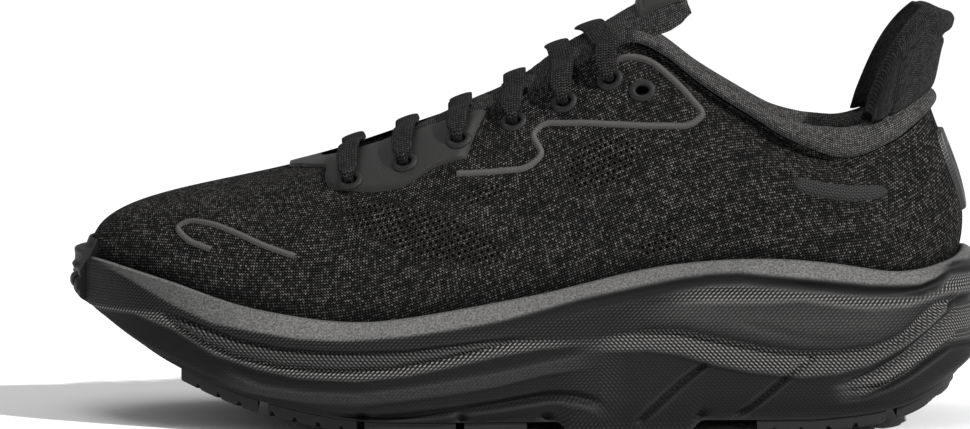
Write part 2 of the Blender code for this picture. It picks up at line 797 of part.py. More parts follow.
def patch_on_upper(name, t, lower, thick, mat, top=0.955):
    """A film piece from its lower edge, given as (loop position, v), up to a line near the top edge."""
    table = np.array(lower)
    low = np.interp(np.minimum(t % 2, 2 - t % 2), table[:, 0], table[:, 1])
    share = np.linspace(0, 1, 7)
    a = np.repeat(t[:, None], len(share), 1)
    b = low[:, None] + (top - low[:, None]) * share
    return slab(name, on_upper(a, b, 1.6 * GAP + thick), on_upper(a, b, 1.6 * GAP), mat)


def cut_holes(obj, cutters):
    cut = obj.modifiers.new("Eyelet holes", "BOOLEAN")
    cut.operation = "DIFFERENCE"
    cut.solver = "EXACT"
    cut.object = cutters


# Tongue and lacing


def throat(x):
    """Half width and height of the slot's edge at an x."""
    t = np.linspace(0, 0.6, 61)
    edge = topline(t)
    return np.interp(x, edge[:, 0], -edge[:, 1]), np.interp(x, edge[:, 0], edge[:, 2])


TONGUE_ROOT = TONGUE_LINE[0][0] * X_SCALE
TONGUE_TIP = TONGUE_LINE[-1][0] * X_SCALE
EYESTAY_TOP = 30 * MM * X_SCALE


def tongue_middle(x):
    """Height of the tongue's top face along its middle."""
    line = np.array(TONGUE_LINE)
    return RIM_HEEL + hermite(np.asarray(x, float), line[:, 0] * X_SCALE, line[:, 1])


def tongue_point(x, y):
    """The tongue's top face: arched between the knit's edges, and draped down past them at the top."""
    half, edge = throat(np.minimum(x, EYESTAY_TOP))
    share = np.clip(np.abs(y) / np.maximum(half, 11 * MM * Y_SCALE), 0, 1.3)
    middle = tongue_middle(x)
    free = np.clip(x - EYESTAY_TOP, 0, None)
    below = tongue_middle(np.minimum(x, EYESTAY_TOP)) - edge + TUCK + free * 0.35
    return np.stack([x + 0.3 * free * share**2, y, middle - below * share**2.4], -1)


def tongue_half_width(x):
    table = np.array(TONGUE_WIDTHS)
    return np.interp(x, table[:, 0] * X_SCALE, table[:, 1] * Y_SCALE)


def make_tongue(mat):
    x = np.linspace(TONGUE_ROOT, TONGUE_TIP, 19)
    half = tongue_half_width(x)
    places = (TONGUE_ROOT, -30 * MM, 20 * MM, TONGUE_TIP)
    thick = TONGUE_THICK * np.interp(x, places, (0.35, 0.45, 0.95, 1.0))
    s = np.linspace(-1, 1, 11)
    grid_x = np.repeat(x[:, None], len(s), 1)
    grid_y = half[:, None] * s
    top = tongue_point(grid_x, grid_y)
    taper = 1 - 0.55 * np.abs(s) ** 3
    bottom = top - UP * (thick[:, None] * taper)[..., None]
    return slab("tongue", top, bottom, mat)


def make_label(mat):
    x, s = np.meshgrid(np.linspace(36.5 * MM, 49.5 * MM, 6) * X_SCALE, np.linspace(-1, 1, 9), indexing="ij")
    low = tongue_point(x, s * 14 * MM * Y_SCALE) + UP * (1.8 * GAP)
    return slab("tongue_label", low + UP * LABEL_THICK, low, mat)


def bar_point(x, y):
    """A point of the lace's middle plane where it crosses the tongue."""
    point = tongue_point(np.array(x + 0.4 * MM), np.array(y))
    point[2] = max(point[2], throat(x)[1]) + LACE_THICK / 2 + 1.8 * MM
    return point


def lace_bar(number):
    """Points of the bar between a pair of eyelets, from the outer side to the inner."""
    points = []
    for side in (-1, 1):
        centre, normal, _, _ = eyelet_frame(number, side)
        edge_y, edge_z = throat(centre[0])
        flat = side * edge_y
        clear = eyelet_lift(number) + FILM + LACE_THICK / 2
        edge = np.array((centre[0] + BAR_LEAN[number] * 0.12, flat, edge_z))
        rise = (edge - centre) / np.linalg.norm(edge - centre)
        run = [
            (centre - normal * (KNIT + 1.1 * MM), 0.0),
            (centre + normal * 0.4 * MM, 0.0),
            (centre + normal * (clear + 1.1 * MM) + rise * 0.5 * MM, 0.05),
            (centre + normal * (clear + 2.2 * MM) + rise * 3.8 * MM, 0.85),
            (edge + normal * 1.2 * MM + UP * 2.5 * MM, 1.0),
            (bar_point(centre[0] + BAR_LEAN[number] * 0.3, flat * 0.72), 1.0),
            (bar_point(centre[0] + BAR_LEAN[number] * 0.7, flat * 0.36), 1.0),
        ]
        points.append(run if side < 0 else run[::-1])
    return points[0] + [(bar_point(centre[0] + BAR_LEAN[number], 0.0), 1.0)] + points[1]


def under_run(number, side):
    """Points under the edge from one eyelet to the next."""
    first, second = eyelet_frame(number, side), eyelet_frame(number + 1, side)
    points = []
    for share in (0.25, 0.5, 0.75):
        centre = first[0] + (second[0] - first[0]) * share
        normal = first[1] + (second[1] - first[1]) * share
        points.append((centre - normal * (KNIT + 2.4 * MM), 0.25))
    return points


def lace_route():
    """The whole lace: every bar and the runs under the edges, with the ends tucked in."""
    route = []
    for number in range(LACED):
        bar = lace_bar(number)
        side = 1 if number % 2 == 0 else -1
        route += bar if number % 2 == 0 else bar[::-1]
        if number + 1 < LACED:
            route += under_run(number, side)
    return route


def tail(number, side, turn):
    """Where an end of the lace is tucked away inside, from its eyelet down the knit's inner face."""
    a, b = eyelet_spot(number, side)
    steps = ((0.06, 0.0), (0.14, 0.004), (0.23, 0.010))
    return [on_upper(a + turn * shift, b - drop, -(KNIT + 2.0 * MM)) for drop, shift in steps]


def make_aglet(name, number, side, turn, mat):
    """The stiff tip, just past the end of its tail."""
    a, b = eyelet_spot(number, side)
    drops = np.linspace(0.245, 0.40, 7)
    path = [on_upper(a + turn * 0.012, b - drop, -(KNIT + 2.2 * MM)) for drop in drops]
    path = np.array(path)
    along = np.gradient(path, axis=0)
    along /= np.linalg.norm(along, axis=1, keepdims=True)
    sections = []
    for p, d in zip(path, along):
        x = np.cross(d, (1.0, 0.0, 0.0))
        x /= np.linalg.norm(x)
        sections.append(oval(p, x, np.cross(d, x), (AGLET / 2, AGLET / 2), 10))
    return swept(name, sections, mat)


def make_lace(mat):
    route = [(p, 0.25) for p in tail(0, -1, 1)[::-1]] + lace_route()
    route += [(p, 0.25) for p in tail(LACED - 1, -1, 1)]
    points = np.array([p for p, _ in route])
    widths = np.array([LACE_IN_HOLE + (LACE_WIDTH - LACE_IN_HOLE) * w for _, w in route])
    path = smooth_path(points, 2)
    width = np.interp(np.arange(len(path)) / 2, np.arange(len(points)), widths)
    along = np.gradient(path, axis=0)
    along /= np.linalg.norm(along, axis=1, keepdims=True)
    sections = []
    for p, a, w in zip(path, along, width):
        flat = np.array((1.0, 0.0, 0.35))
        flat -= a * (flat @ a)
        if np.linalg.norm(flat) < 0.3:
            flat = np.array((0.0, 1.0, 0.0)) - a * a[1]
        flat /= np.linalg.norm(flat)
        up = np.cross(a, flat)
        x, y = flat * w / 2, up * LACE_THICK / 2
        sections.append([p - x, p - x * 0.7 + y, p + x * 0.7 + y, p + x, p + x * 0.7 - y, p - x * 0.7 - y])
    return swept("lace", sections, mat)


def main():
    clear_scene()
    foam = material("midsole_foam", (0.035, 0.036, 0.040), 0.62)
    rubber = material("outsole_rubber", (0.020, 0.020, 0.022), 0.55)
    knit = material("knit", (0.022, 0.022, 0.025), 0.85)
    padding = material("collar_fabric", (0.018, 0.018, 0.020), 0.80)
    film = material("welded_film", (0.055, 0.053, 0.052), 0.42)
    webbing = material("lace_webbing", (0.030, 0.030, 0.033), 0.75)
    board = material("board", (0.30, 0.30, 0.29), 0.80)
    inner = material("sockliner_foam", (0.030, 0.030, 0.032), 0.85)
    plastic = material("counter_plastic", (0.08, 0.08, 0.085), 0.50)
    reflective = material("reflective_panel", (0.16, 0.16, 0.165), 0.35)

    make_midsole(foam)
    make_outsole(rubber)
    make_insoles(board, inner)
    cutters = make_eyelets(film)
    make_upper(knit, cutters)
    make_overlays(film, webbing, reflective, cutters)
    make_collar(padding)
    make_heel_tab(padding)
    inner_shell("heel_counter", np.linspace(0.82, 1.18, 21), np.linspace(0.0, 0.42, 5), COUNTER, plastic)
    inner_shell("toe_puff", np.linspace(-0.12, 0.12, 15), np.linspace(0.05, 0.42, 7), COUNTER, plastic)
    make_tongue(padding)
    make_label(film)
    make_lace(webbing)
    make_aglet("aglet_front", 0, -1, 1, plastic)
    make_aglet("aglet_rear", LACED - 1, -1, 1, plastic)


main()
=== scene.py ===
"""Visual model of the left running shoe.

The toe points toward -X and the outer side toward -Y, and the ground is at z = 0. The tables and surface
functions are the CAD model's own, so that each piece lies where its node does. A loop position is 0 at the
toe, 1 at the heel along the outer side, and 2 back at the toe.
"""

import functools
import math

import bpy
import numpy as np
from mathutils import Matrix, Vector
from mathutils.kdtree import KDTree


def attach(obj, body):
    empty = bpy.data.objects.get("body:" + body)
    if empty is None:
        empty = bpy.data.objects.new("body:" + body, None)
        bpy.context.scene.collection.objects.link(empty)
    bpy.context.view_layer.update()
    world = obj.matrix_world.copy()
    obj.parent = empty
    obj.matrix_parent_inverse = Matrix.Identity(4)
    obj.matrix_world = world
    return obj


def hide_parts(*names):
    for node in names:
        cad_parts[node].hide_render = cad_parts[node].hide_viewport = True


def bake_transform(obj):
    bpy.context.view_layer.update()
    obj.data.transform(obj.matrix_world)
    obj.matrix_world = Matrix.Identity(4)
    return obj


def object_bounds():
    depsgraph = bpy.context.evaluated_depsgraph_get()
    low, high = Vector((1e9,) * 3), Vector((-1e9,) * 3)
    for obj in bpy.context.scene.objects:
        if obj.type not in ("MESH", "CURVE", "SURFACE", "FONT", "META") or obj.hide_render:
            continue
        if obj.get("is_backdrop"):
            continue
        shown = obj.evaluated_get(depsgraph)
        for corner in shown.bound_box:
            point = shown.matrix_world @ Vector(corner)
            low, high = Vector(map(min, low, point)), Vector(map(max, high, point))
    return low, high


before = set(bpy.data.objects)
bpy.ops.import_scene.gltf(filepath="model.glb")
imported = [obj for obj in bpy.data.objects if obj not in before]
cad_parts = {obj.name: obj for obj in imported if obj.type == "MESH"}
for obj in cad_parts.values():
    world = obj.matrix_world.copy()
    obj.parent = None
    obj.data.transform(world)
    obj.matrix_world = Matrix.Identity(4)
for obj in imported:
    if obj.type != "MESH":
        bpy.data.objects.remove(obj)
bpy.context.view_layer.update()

MM = 0.001


def in_mm(*rows, shares=0):
    """A table in metres, from rows in millimetres after this many columns of plain shares."""
    table = np.array(rows, float)
    table[:, shares:] *= MM
    return table


LENGTH = 307 * MM
BALL_WIDTH = 114 * MM
COLLAR_RISE = 64 * MM  # the knit's top edge above the foam's rim, at the heel
TABLE_LENGTH = 307 * MM  # the overall sizes that the tables below are written for
TABLE_WIDTH = 114 * MM
TABLE_RISE = 64 * MM
GAP = 0.3 * MM  # clearance between neighbouring pieces
RUBBER = 4 * MM
BUMPER = 2.6 * MM  # rubber up the toe's front
TOE_WRAP_INSETS = (28 * MM, 22 * MM, 16 * MM, 10.5 * MM)  # rows of the toe rubber under the foam
TOE_CAP = (0.05, 0.10)  # rows of the toe rubber on the knit, in shares of its height
HEEL_FOAM = 32 * MM
TOE_FOAM = 24 * MM
LIP = 2.6 * MM
BOARD = 1.6 * MM
WAIST_CLEAR = 0.4 * MM  # the waist's foam above the ground
LINER = 4.6 * MM
KNIT = 2.2 * MM
FILM = 0.8 * MM
COUNTER = 1.4 * MM
COLLAR_HEIGHT = 11 * MM
COLLAR_THICK = 9.5 * MM
LINING = 40 * MM  # depth of the collar's lining at the heel
TAB_HEIGHT = 24.5 * MM
TAB_REACH = 0.155  # loop positions that the tab reaches on each side of the heel
TAB_THICK = 8 * MM
TONGUE_THICK = 5.5 * MM
TUCK = 7.5 * MM  # depth of the tongue below the knit's edge at the slot's sides
LACE_WIDTH = 8.0 * MM
LACE_THICK = 1.3 * MM
LACE_IN_HOLE = 2.7 * MM
AGLET = 2.4 * MM
EYELET_HOLE = (2.5 * MM, 1.9 * MM)  # half lengths
OUTLINE = (  # plan outline of the foam, in shares of the ball width
    (0.00, 0.085, 0.085), (0.10, -0.105, 0.285), (0.20, -0.305, 0.415), (0.30, -0.435, 0.490),
    (0.40, -0.500, 0.475), (0.50, -0.480, 0.400), (0.60, -0.435, 0.370), (0.70, -0.420, 0.385),
    (0.80, -0.380, 0.375), (0.90, -0.225, 0.225), (1.00, 0.0, 0.0),
)
LIFT = in_mm(  # underside of the foam above the flat of the sole
    (0.00, 36), (0.10, 30.5), (0.20, 18), (0.30, 6), (0.38, 0.4), (0.42, 0.0), (0.50, 0.0), (0.60, 0.0),
    (0.71, 0.0), (0.80, 3.5), (0.90, 11), (1.00, 15),
    shares=1,
)
FOAM_SHARE = (  # 0 is the toe's foam thickness, 1 the heel's
    (0.00, -1.66), (0.10, -1.31), (0.20, -0.475), (0.30, 0.0), (0.40, 0.25), (0.50, 0.6), (0.60, 0.9),
    (0.70, 1.0), (0.80, 0.75), (0.90, 0.2), (1.00, -0.1),
)
CUP = in_mm(  # the foam's rim above the foot bed
    (0.00, 3), (0.10, 5), (0.20, 6), (0.30, 5.5), (0.40, 7), (0.50, 12), (0.60, 19.5), (0.70, 20),
    (0.80, 14.5), (0.90, 14), (1.00, 15.5),
    shares=1,
)
FLARE = (  # how far the foam's side slopes, low down and at the rim, in shares of the insets below
    (0.00, 1.30, 0.30), (0.10, 1.15, 0.45), (0.20, 1.0, 0.85), (0.30, 1.0, 1.0), (0.80, 1.0, 1.0),
    (1.00, 1.6, 1.0),
)
TOPLINE = in_mm(  # top edge of the knit: position, x, distance from the middle, height above the heel's rim
    (0.00, -64, 0.0, 31), (0.10, -62.5, 7.5, 31), (0.20, -57, 12.5, 32.5), (0.30, -45, 16, 36.5),
    (0.40, -22, 19, 44.5), (0.50, 4, 22, 54), (0.56, 21, 23.5, 64), (0.60, 33, 25.5, 69),
    (0.64, 44, 28.5, 65.5), (0.68, 58, 32, 55), (0.72, 73, 35, 45.5), (0.76, 86, 37, 38),
    (0.81, 103, 36.5, 32), (0.87, 119, 31, 36), (0.93, 130, 19, 42.5), (1.00, 135.5, 0.0, 46.5),
    shares=1,
)
WALL = in_mm(  # the foam's side from bottom to rim: share of its height, inset from the outline
    (0.00, 6.0), (0.07, 3.2), (0.20, 0.9), (0.36, 0.0), (0.52, 0.5), (0.60, 2.4), (0.66, 1.2),
    (0.84, 2.2), (0.86, 3.0), (1.00, 5.4),
    shares=1,
)
SWELL = in_mm(  # the upper's curve: position, outward and upward at the rim, drop at the top edge
    (0.00, 3.0, 22, 13), (0.20, 1.8, 23, 11), (0.40, 1.5, 27, 9), (0.60, 1.5, 24, 16),
    (0.80, 2.0, 14, 12), (1.00, 4.5, 17, 15),
    shares=1,
)
COLLAR_SHARE = (  # height of the collar's roll, in shares of its height at the heel
    (0.00, 0.35), (0.60, 0.35), (0.70, 0.42), (0.75, 0.50), (0.78, 0.70), (0.80, 0.85), (0.86, 0.85),
    (1.00, 0.60),
)
TONGUE_LINE = in_mm(  # the tongue's top face along its middle: x, height above the heel's rim
    (-70, 24), (-62, 28.5), (-52, 33.5), (-40, 39), (-20, 48.3), (0.0, 58), (12.8, 67.4), (24.5, 74),
    (34.6, 80), (44, 85.5), (52, 89),
)
TONGUE_WIDTHS = in_mm(  # half widths along the tongue: x, half width
    (-70, 7), (-40, 17), (0.0, 20.3), (12, 19.2), (30, 19.2), (38, 19.3), (46, 20), (52, 16),
)
FOREFOOT_PODS = (  # stretches of the sole's length, as loop positions
    (0.216, 0.295), (0.304, 0.376), (0.382, 0.449), (0.455, 0.498),
)
TOE_WRAP = 0.062  # loop positions that the toe's rubber reaches on each side
HEEL_POD = (0.663, 0.785)
WAIST = (0.518, 0.622)
REAR_POD = (0.800, 0.955)
EYELETS = in_mm(  # eyelet centres on a side, front to back: x and height above the heel's rim
    (-58, 23.5), (-40, 29.5), (-22.3, 37), (-4.3, 43.5), (12.4, 50), (27.5, 57.5), (38, 54),
)
EYESTAY_WELD = in_mm(  # the raised outline under the lacing on a side: x, height above the heel's rim
    (-23, 27), (-8, 28), (0.5, 29.5), (4.6, 33.5), (2.2, 39.5), (5, 42.5), (12, 43.3), (30, 43),
    (46, 42.6), (54, 43.2), (57.6, 46.5), (54.5, 51), (46, 59.5), (41.5, 63), (37, 64.6), (32, 64.6),
    (28.5, 63.2),
)
TOE_WELD = in_mm(  # the hooked line on the side of the toe
    (-76, 0), (-87, 3.5), (-97, 7.5), (-106, 10), (-112.5, 10), (-115.5, 8), (-113.5, 5.5), (-104, 1.5),
)
FILM_DEPTH = (  # the vamp film's lower edge: loop position, v
    (0.00, 0.88), (0.15, 0.87), (0.26, 0.80), (0.31, 0.61), (0.36, 0.56), (0.39, 0.56), (0.41, 0.64),
    (0.44, 0.66),
)
SIDE_BAR = in_mm(  # the plain embroidered bar near the heel
    (88, 24), (96, 22), (108, 20.5), (119, 21),
)
FILMED = 3  # eyelets from the front that sit on the vamp film
BAR_LEAN = (0.0, 0.0, 0.0, 0.0, -3 * MM, -8 * MM)  # how far forward each bar's middle lies
LACED = 6  # eyelets from the front that hold a bar of lace; the last stays empty
HALF = (LENGTH - BUMPER) / 2
MIDDLE_X = BUMPER / 2
X_SCALE = LENGTH / TABLE_LENGTH
Y_SCALE = BALL_WIDTH / TABLE_WIDTH
UP = np.array((0.0, 0.0, 1.0))


def unit(vectors):
    return vectors / np.linalg.norm(vectors, axis=-1, keepdims=True)


def hermite(at, knots, values):
    """A smooth curve through unevenly spaced knots."""
    slopes = np.gradient(values, knots, axis=0)
    i = np.clip(np.searchsorted(knots, at, side="right") - 1, 0, len(knots) - 2)
    step = knots[i + 1] - knots[i]
    s = (at - knots[i]) / step
    if values.ndim > 1:
        s, step = s[..., None], step[..., None]
    a, b = values[i], values[i + 1]
    m, n = slopes[i] * step, slopes[i + 1] * step
    return a + s * m + s * s * (3 * (b - a) - 2 * m - n) + s**3 * (2 * (a - b) + m + n)


def around(at, knots, outer, inner):
    """A smooth closed curve of the loop position, from its values on the two sides."""
    knots = np.concatenate([knots, 2 - knots[-2:0:-1]])
    values = np.concatenate([outer, inner[-2:0:-1]])
    knots = np.concatenate([knots[-2:] - 2, knots, knots[:2] + 2])
    values = np.concatenate([values[-2:], values, values[:2]])
    return hermite(np.mod(np.asarray(at, float), 2.0), knots, values)


def column(at, rows, index=1, inner=None):
    table = np.array(rows)
    return around(at, table[:, 0], table[:, index], table[:, inner or index])


def outline(at, inset=0.0):
    """Plan points of the foam's outline, moved inward by the inset."""
    at = np.asarray(at, float)

    def plain(t):
        x = MIDDLE_X - HALF * np.cos(np.pi * t)
        y = BALL_WIDTH * column(t, OUTLINE, 1, 2)
        return np.stack([x, y], -1)

    tangent = unit(plain(at + 1e-3) - plain(at - 1e-3))
    outward = np.stack([tangent[..., 1], -tangent[..., 0]], -1)
    return plain(at) - outward * np.asarray(inset)[..., None], outward


def underside(at):
    return RUBBER + GAP + np.maximum(column(at, LIFT), 0.0)


def waist_drop(at):
    """How far the foam reaches down towards the ground between the forefoot and heel pods."""
    at = np.minimum(np.mod(at, 2), 2 - np.mod(at, 2))
    share = np.clip(np.minimum(at - WAIST[0], WAIST[1] - at) / 0.012, 0, 1)
    return (RUBBER + GAP - WAIST_CLEAR) * share * share * (3 - 2 * share)


def foot_bed(at):
    return underside(at) + TOE_FOAM + (HEEL_FOAM - TOE_FOAM) * column(at, FOAM_SHARE)


def rim(at):
    return foot_bed(at) + column(at, CUP)


def raised(plan, height):
    height = np.broadcast_to(height, plan.shape[:-1])
    return np.concatenate([plan, height[..., None]], -1)


def ring(at, inset, height):
    return raised(outline(at, inset)[0], height)


def wall_inset(at, share, inset):
    return inset * (column(at, FLARE, 1) * (1 - share) + column(at, FLARE, 2) * share)


def cup_inset(at):
    """The inner wall of the foam's rim."""
    return wall_inset(at, *WALL[-1]) + LIP


RIM_HEEL = float(rim(1.0))


def topline(at):
    table = np.array(TOPLINE)
    y = around(at, table[:, 0], -table[:, 2], table[:, 2]) * Y_SCALE
    x = column(at, TOPLINE, 1)
    front, back = table[0, 1], table[-1, 1]
    rise = (COLLAR_RISE - TABLE_RISE) * np.clip((x - front) / (back - front), 0, 1)
    return np.stack([x * X_SCALE, y, RIM_HEEL + column(at, TOPLINE, 3) + rise], -1)


def inward_from_edge(t):
    """The level direction inward from the knit's top edge."""
    return unit(np.cross(UP, topline(t + 1e-3) - topline(t - 1e-3)))


def upper(at, v):
    """Outer surface of the knit: v is 0 at the rim and 1 at the top edge, and below 0 down in the cup."""
    at, v = np.broadcast_arrays(np.asarray(at, float), np.asarray(v, float))
    plan, outward = outline(at, cup_inset(at) + GAP)
    foot = raised(plan, rim(at))
    top = topline(at)
    out = np.concatenate([outward, np.zeros_like(outward[..., :1])], -1)
    lean = 0.52 * (foot - top)
    lean[..., 2] = 0.0
    low = foot + out * column(at, SWELL, 1)[..., None] + UP * column(at, SWELL, 2)[..., None]
    high = top + lean - UP * column(at, SWELL, 3)[..., None]
    w = np.clip(v, 0, 1)[..., None]
    curve = (1 - w) ** 3 * foot + 3 * w * (1 - w) ** 2 * low + 3 * w * w * (1 - w) * high + w**3 * top
    sink = np.clip(-v, 0, 1) * (rim(at) - foot_bed(at) - GAP)
    return curve - UP * sink[..., None]


def upper_normal(at, v):
    v = np.clip(v, 0.0, 1.0)
    across = upper(at + 2e-3, v) - upper(at - 2e-3, v)
    rising = upper(at, np.minimum(v + 4e-3, 1)) - upper(at, np.maximum(v - 4e-3, 0))
    return unit(np.cross(across, rising))


def on_upper(at, v, off=0.0):
    return upper(at, v) + upper_normal(at, v) * np.asarray(off)[..., None]


def find_on_side(x, z, side):
    """The surface coordinates of the point of the outer (-1) or inner (+1) side with this x and height."""
    at, v = np.meshgrid(np.linspace(0.02, 0.98, 97), np.linspace(0.0, 1.0, 41), indexing="ij")
    if side > 0:
        at = 2 - at
    points = upper(at, v)
    nearest = np.unravel_index(np.argmin((points[..., 0] - x) ** 2 + (points[..., 2] - z) ** 2), at.shape)
    a, b = float(at[nearest]), float(v[nearest])
    for _ in range(12):
        here = upper(a, b)
        da = (upper(a + 1e-4, b) - here) / 1e-4
        db = (upper(a, b + 1e-4) - here) / 1e-4
        grid = np.array([[da[0], db[0]], [da[2], db[2]]])
        step = np.linalg.solve(grid, [x - here[0], z - here[2]])
        a, b = a + np.clip(step[0], -0.05, 0.05), b + np.clip(step[1], -0.1, 0.1)
    return a, b


def smooth_path(points, per=4):
    """Points on a smooth open curve through the given ones."""
    points = np.array(points, float)
    knots = np.concatenate([[0], np.cumsum(np.linalg.norm(np.diff(points, axis=0), axis=1))])
    at = np.interp(np.arange((len(points) - 1) * per + 1) / per, np.arange(len(points)), knots)
    return hermite(at, knots, points)


def bottom_point(u, share):
    """A point of the foam's underside: u from toe to heel, share 0 at the outer edge to 1 at the inner."""
    u, share = np.broadcast_arrays(np.asarray(u, float), np.asarray(share, float))
    inset = wall_inset(u, *WALL[0])
    outer = ring(u, inset, underside(u))
    inner = ring(2 - u, inset, underside(u))
    return outer + (inner - outer) * share[..., None]


@functools.lru_cache(maxsize=None)
def eyelet_spot(number, side):
    x, z = EYELETS[number]
    return find_on_side(x * X_SCALE, z + RIM_HEEL, side)


@functools.lru_cache(maxsize=None)
def eyelet_frame(number, side):
    """Centre, outward normal, and the directions along and across of an eyelet."""
    a, b = eyelet_spot(number, side)
    centre, normal = upper(a, b), upper_normal(a, b)
    along = upper(a + side * -1e-3, b) - centre
    along -= normal * (along @ normal)
    along /= np.linalg.norm(along)
    return centre, normal, along, np.cross(normal, along)


def eyelet_lift(number):
    """Height of an eyelet ring's underside above the knit: the front ones sit on the vamp film."""
    return 1.9 * GAP + (FILM + GAP if number < FILMED else 0)


def oval(centre, along, across, half, count=14):
    turn = 2 * math.pi * np.arange(count) / count
    return centre + np.outer(np.cos(turn) * half[0], along) + np.outer(np.sin(turn) * half[1], across)


def tab_height(side):
    """Height of the heel tab above the collar, from its middle (0) to its front edges (1)."""
    fall = 0.08 + 0.92 * np.clip(1 - side**6, 0, 1) ** 0.6
    return TAB_HEIGHT * fall * (1 + 0.30 * np.minimum(side / 0.6, 1) ** 2)


def throat(x):
    """Half width and height of the slot's edge at an x."""
    t = np.linspace(0, 0.6, 61)
    edge = topline(t)
    return np.interp(x, edge[:, 0], -edge[:, 1]), np.interp(x, edge[:, 0], edge[:, 2])


TONGUE_ROOT = TONGUE_LINE[0][0] * X_SCALE
TONGUE_TIP = TONGUE_LINE[-1][0] * X_SCALE
EYESTAY_TOP = 30 * MM * X_SCALE


def tongue_middle(x):
    """Height of the tongue's top face along its middle."""
    line = np.array(TONGUE_LINE)
    return RIM_HEEL + hermite(np.asarray(x, float), line[:, 0] * X_SCALE, line[:, 1])


def tongue_point(x, y):
    """The tongue's top face: arched between the knit's edges, and draped down past them at the top."""
    half, edge = throat(np.minimum(x, EYESTAY_TOP))
    share = np.clip(np.abs(y) / np.maximum(half, 11 * MM * Y_SCALE), 0, 1.3)
    middle = tongue_middle(x)
    free = np.clip(x - EYESTAY_TOP, 0, None)
    below = tongue_middle(np.minimum(x, EYESTAY_TOP)) - edge + TUCK + free * 0.35
    return np.stack([x + 0.3 * free * share**2, y, middle - below * share**2.4], -1)


def tongue_half_width(x):
    table = np.array(TONGUE_WIDTHS)
    return np.interp(x, table[:, 0] * X_SCALE, table[:, 1] * Y_SCALE)


def bar_point(x, y):
    """A point of the lace's middle plane where it crosses the tongue."""
    point = tongue_point(np.array(x + 0.4 * MM), np.array(y))
    point[2] = max(point[2], throat(x)[1]) + LACE_THICK / 2 + 1.8 * MM
    return point


def lace_bar(number):
    """Points of the bar between a pair of eyelets, from the outer side to the inner."""
    points = []
    for side in (-1, 1):
        centre, normal, _, _ = eyelet_frame(number, side)
        edge_y, edge_z = throat(centre[0])
        flat = side * edge_y
        clear = eyelet_lift(number) + FILM + LACE_THICK / 2
        edge = np.array((centre[0] + BAR_LEAN[number] * 0.12, flat, edge_z))
        rise = (edge - centre) / np.linalg.norm(edge - centre)
        run = [
            (centre - normal * (KNIT + 1.1 * MM), 0.0),
            (centre + normal * 0.4 * MM, 0.0),
            (centre + normal * (clear + 1.1 * MM) + rise * 0.5 * MM, 0.05),
            (centre + normal * (clear + 2.2 * MM) + rise * 3.8 * MM, 0.85),
            (edge + normal * 1.2 * MM + UP * 2.5 * MM, 1.0),
            (bar_point(centre[0] + BAR_LEAN[number] * 0.3, flat * 0.72), 1.0),
            (bar_point(centre[0] + BAR_LEAN[number] * 0.7, flat * 0.36), 1.0),
        ]
        points.append(run if side < 0 else run[::-1])
    return points[0] + [(bar_point(centre[0] + BAR_LEAN[number], 0.0), 1.0)] + points[1]


def under_run(number, side):
    """Points under the edge from one eyelet to the next."""
    first, second = eyelet_frame(number, side), eyelet_frame(number + 1, side)
    points = []
    for share in (0.25, 0.5, 0.75):
        centre = first[0] + (second[0] - first[0]) * share
        normal = first[1] + (second[1] - first[1]) * share
        points.append((centre - normal * (KNIT + 2.4 * MM), 0.25))
    return points


def lace_route():
    """The lace without its ends: every bar and the runs under the edges."""
    route = []
    for number in range(LACED):
        bar = lace_bar(number)
        side = 1 if number % 2 == 0 else -1
        route += bar if number % 2 == 0 else bar[::-1]
        if number + 1 < LACED:
            route += under_run(number, side)
    return route


def tail(number, side, turn):
    """Where an end of the lace is tucked away inside, from its eyelet down the knit's inner face."""
    a, b = eyelet_spot(number, side)
    steps = ((0.06, 0.0), (0.14, 0.004), (0.23, 0.010))
    return [on_upper(a + turn * shift, b - drop, -(KNIT + 2.0 * MM)) for drop, shift in steps]


# Lines moulded into the foam's sides, as (x, height)
CHAMFER = (
    (-150, 56.5), (-145.5, 54.5), (-131, 48.5), (-117, 41.6), (-103, 36), (-88.5, 33.7), (-74.5, 31.8),
    (-61, 31.4), (-50.5, 32.1), (-39.5, 33.1), (-23.5, 35.4), (-9, 38), (1, 40.6), (17.5, 45.2),
    (33.5, 48.5), (50, 51.7), (60.5, 53.1), (70, 53.4), (79.5, 52.4), (96, 50.8), (113, 49.1),
    (124.5, 48.8), (130, 48.8), (135.5, 50.8), (141, 55),
)
GROOVE_A = (
    (-121, 39.3), (-109.5, 35.4), (-95.5, 30.8), (-81.5, 28.2), (-67, 27.2), (-56, 27.2), (-39.5, 27.8),
    (-29, 29.1), (-15.5, 30.8), (-3.5, 32.1),
)
GROOVE_B = (
    (-121, 39), (-115.5, 34.7), (-106, 29.5), (-95.5, 25.5), (-81.5, 22.6), (-67, 21.6), (-61, 21.6),
    (-45, 22.3), (-29, 25.2), (-15.5, 28.2), (-3.5, 31.4),
)
BAND = (
    (-130, 38), (-117, 33.7), (-103, 25.9), (-88.5, 21.6), (-74.5, 19), (-56, 18.3), (-39.5, 20),
    (-23.5, 23.3), (-9, 26.5), (4.5, 28.8), (20, 30),
)
RIB_TOP = (
    (-99, 20.3), (-87.5, 16.4), (-72.5, 14.7), (-56, 14.4), (-39.5, 16.4), (-23.5, 19), (-9, 21.6),
    (6, 24.9), (17.5, 26.9), (26, 28),
)
RIB_LOW = (
    (-97.5, 14.4), (-86, 12.4), (-72.5, 11.1), (-56, 10.5), (-39.5, 12.1), (-23.5, 14.1), (-9, 16.4),
    (6, 20), (15, 21.3), (26, 23),
)
GROOVE_D = (
    (-64.5, 5.9), (-50.5, 5.9), (-39.5, 6.9), (-23.5, 8.8), (-9, 10.8), (6, 13.4), (16, 13.8),
    (22.5, 12.4), (26, 10.5),
)
RIDGE = (
    (53.5, 43.9), (56.5, 44.2), (79.5, 44.2), (90.5, 44.9), (102, 42.9), (113, 41.9), (125, 42.5),
    (140, 46),
)
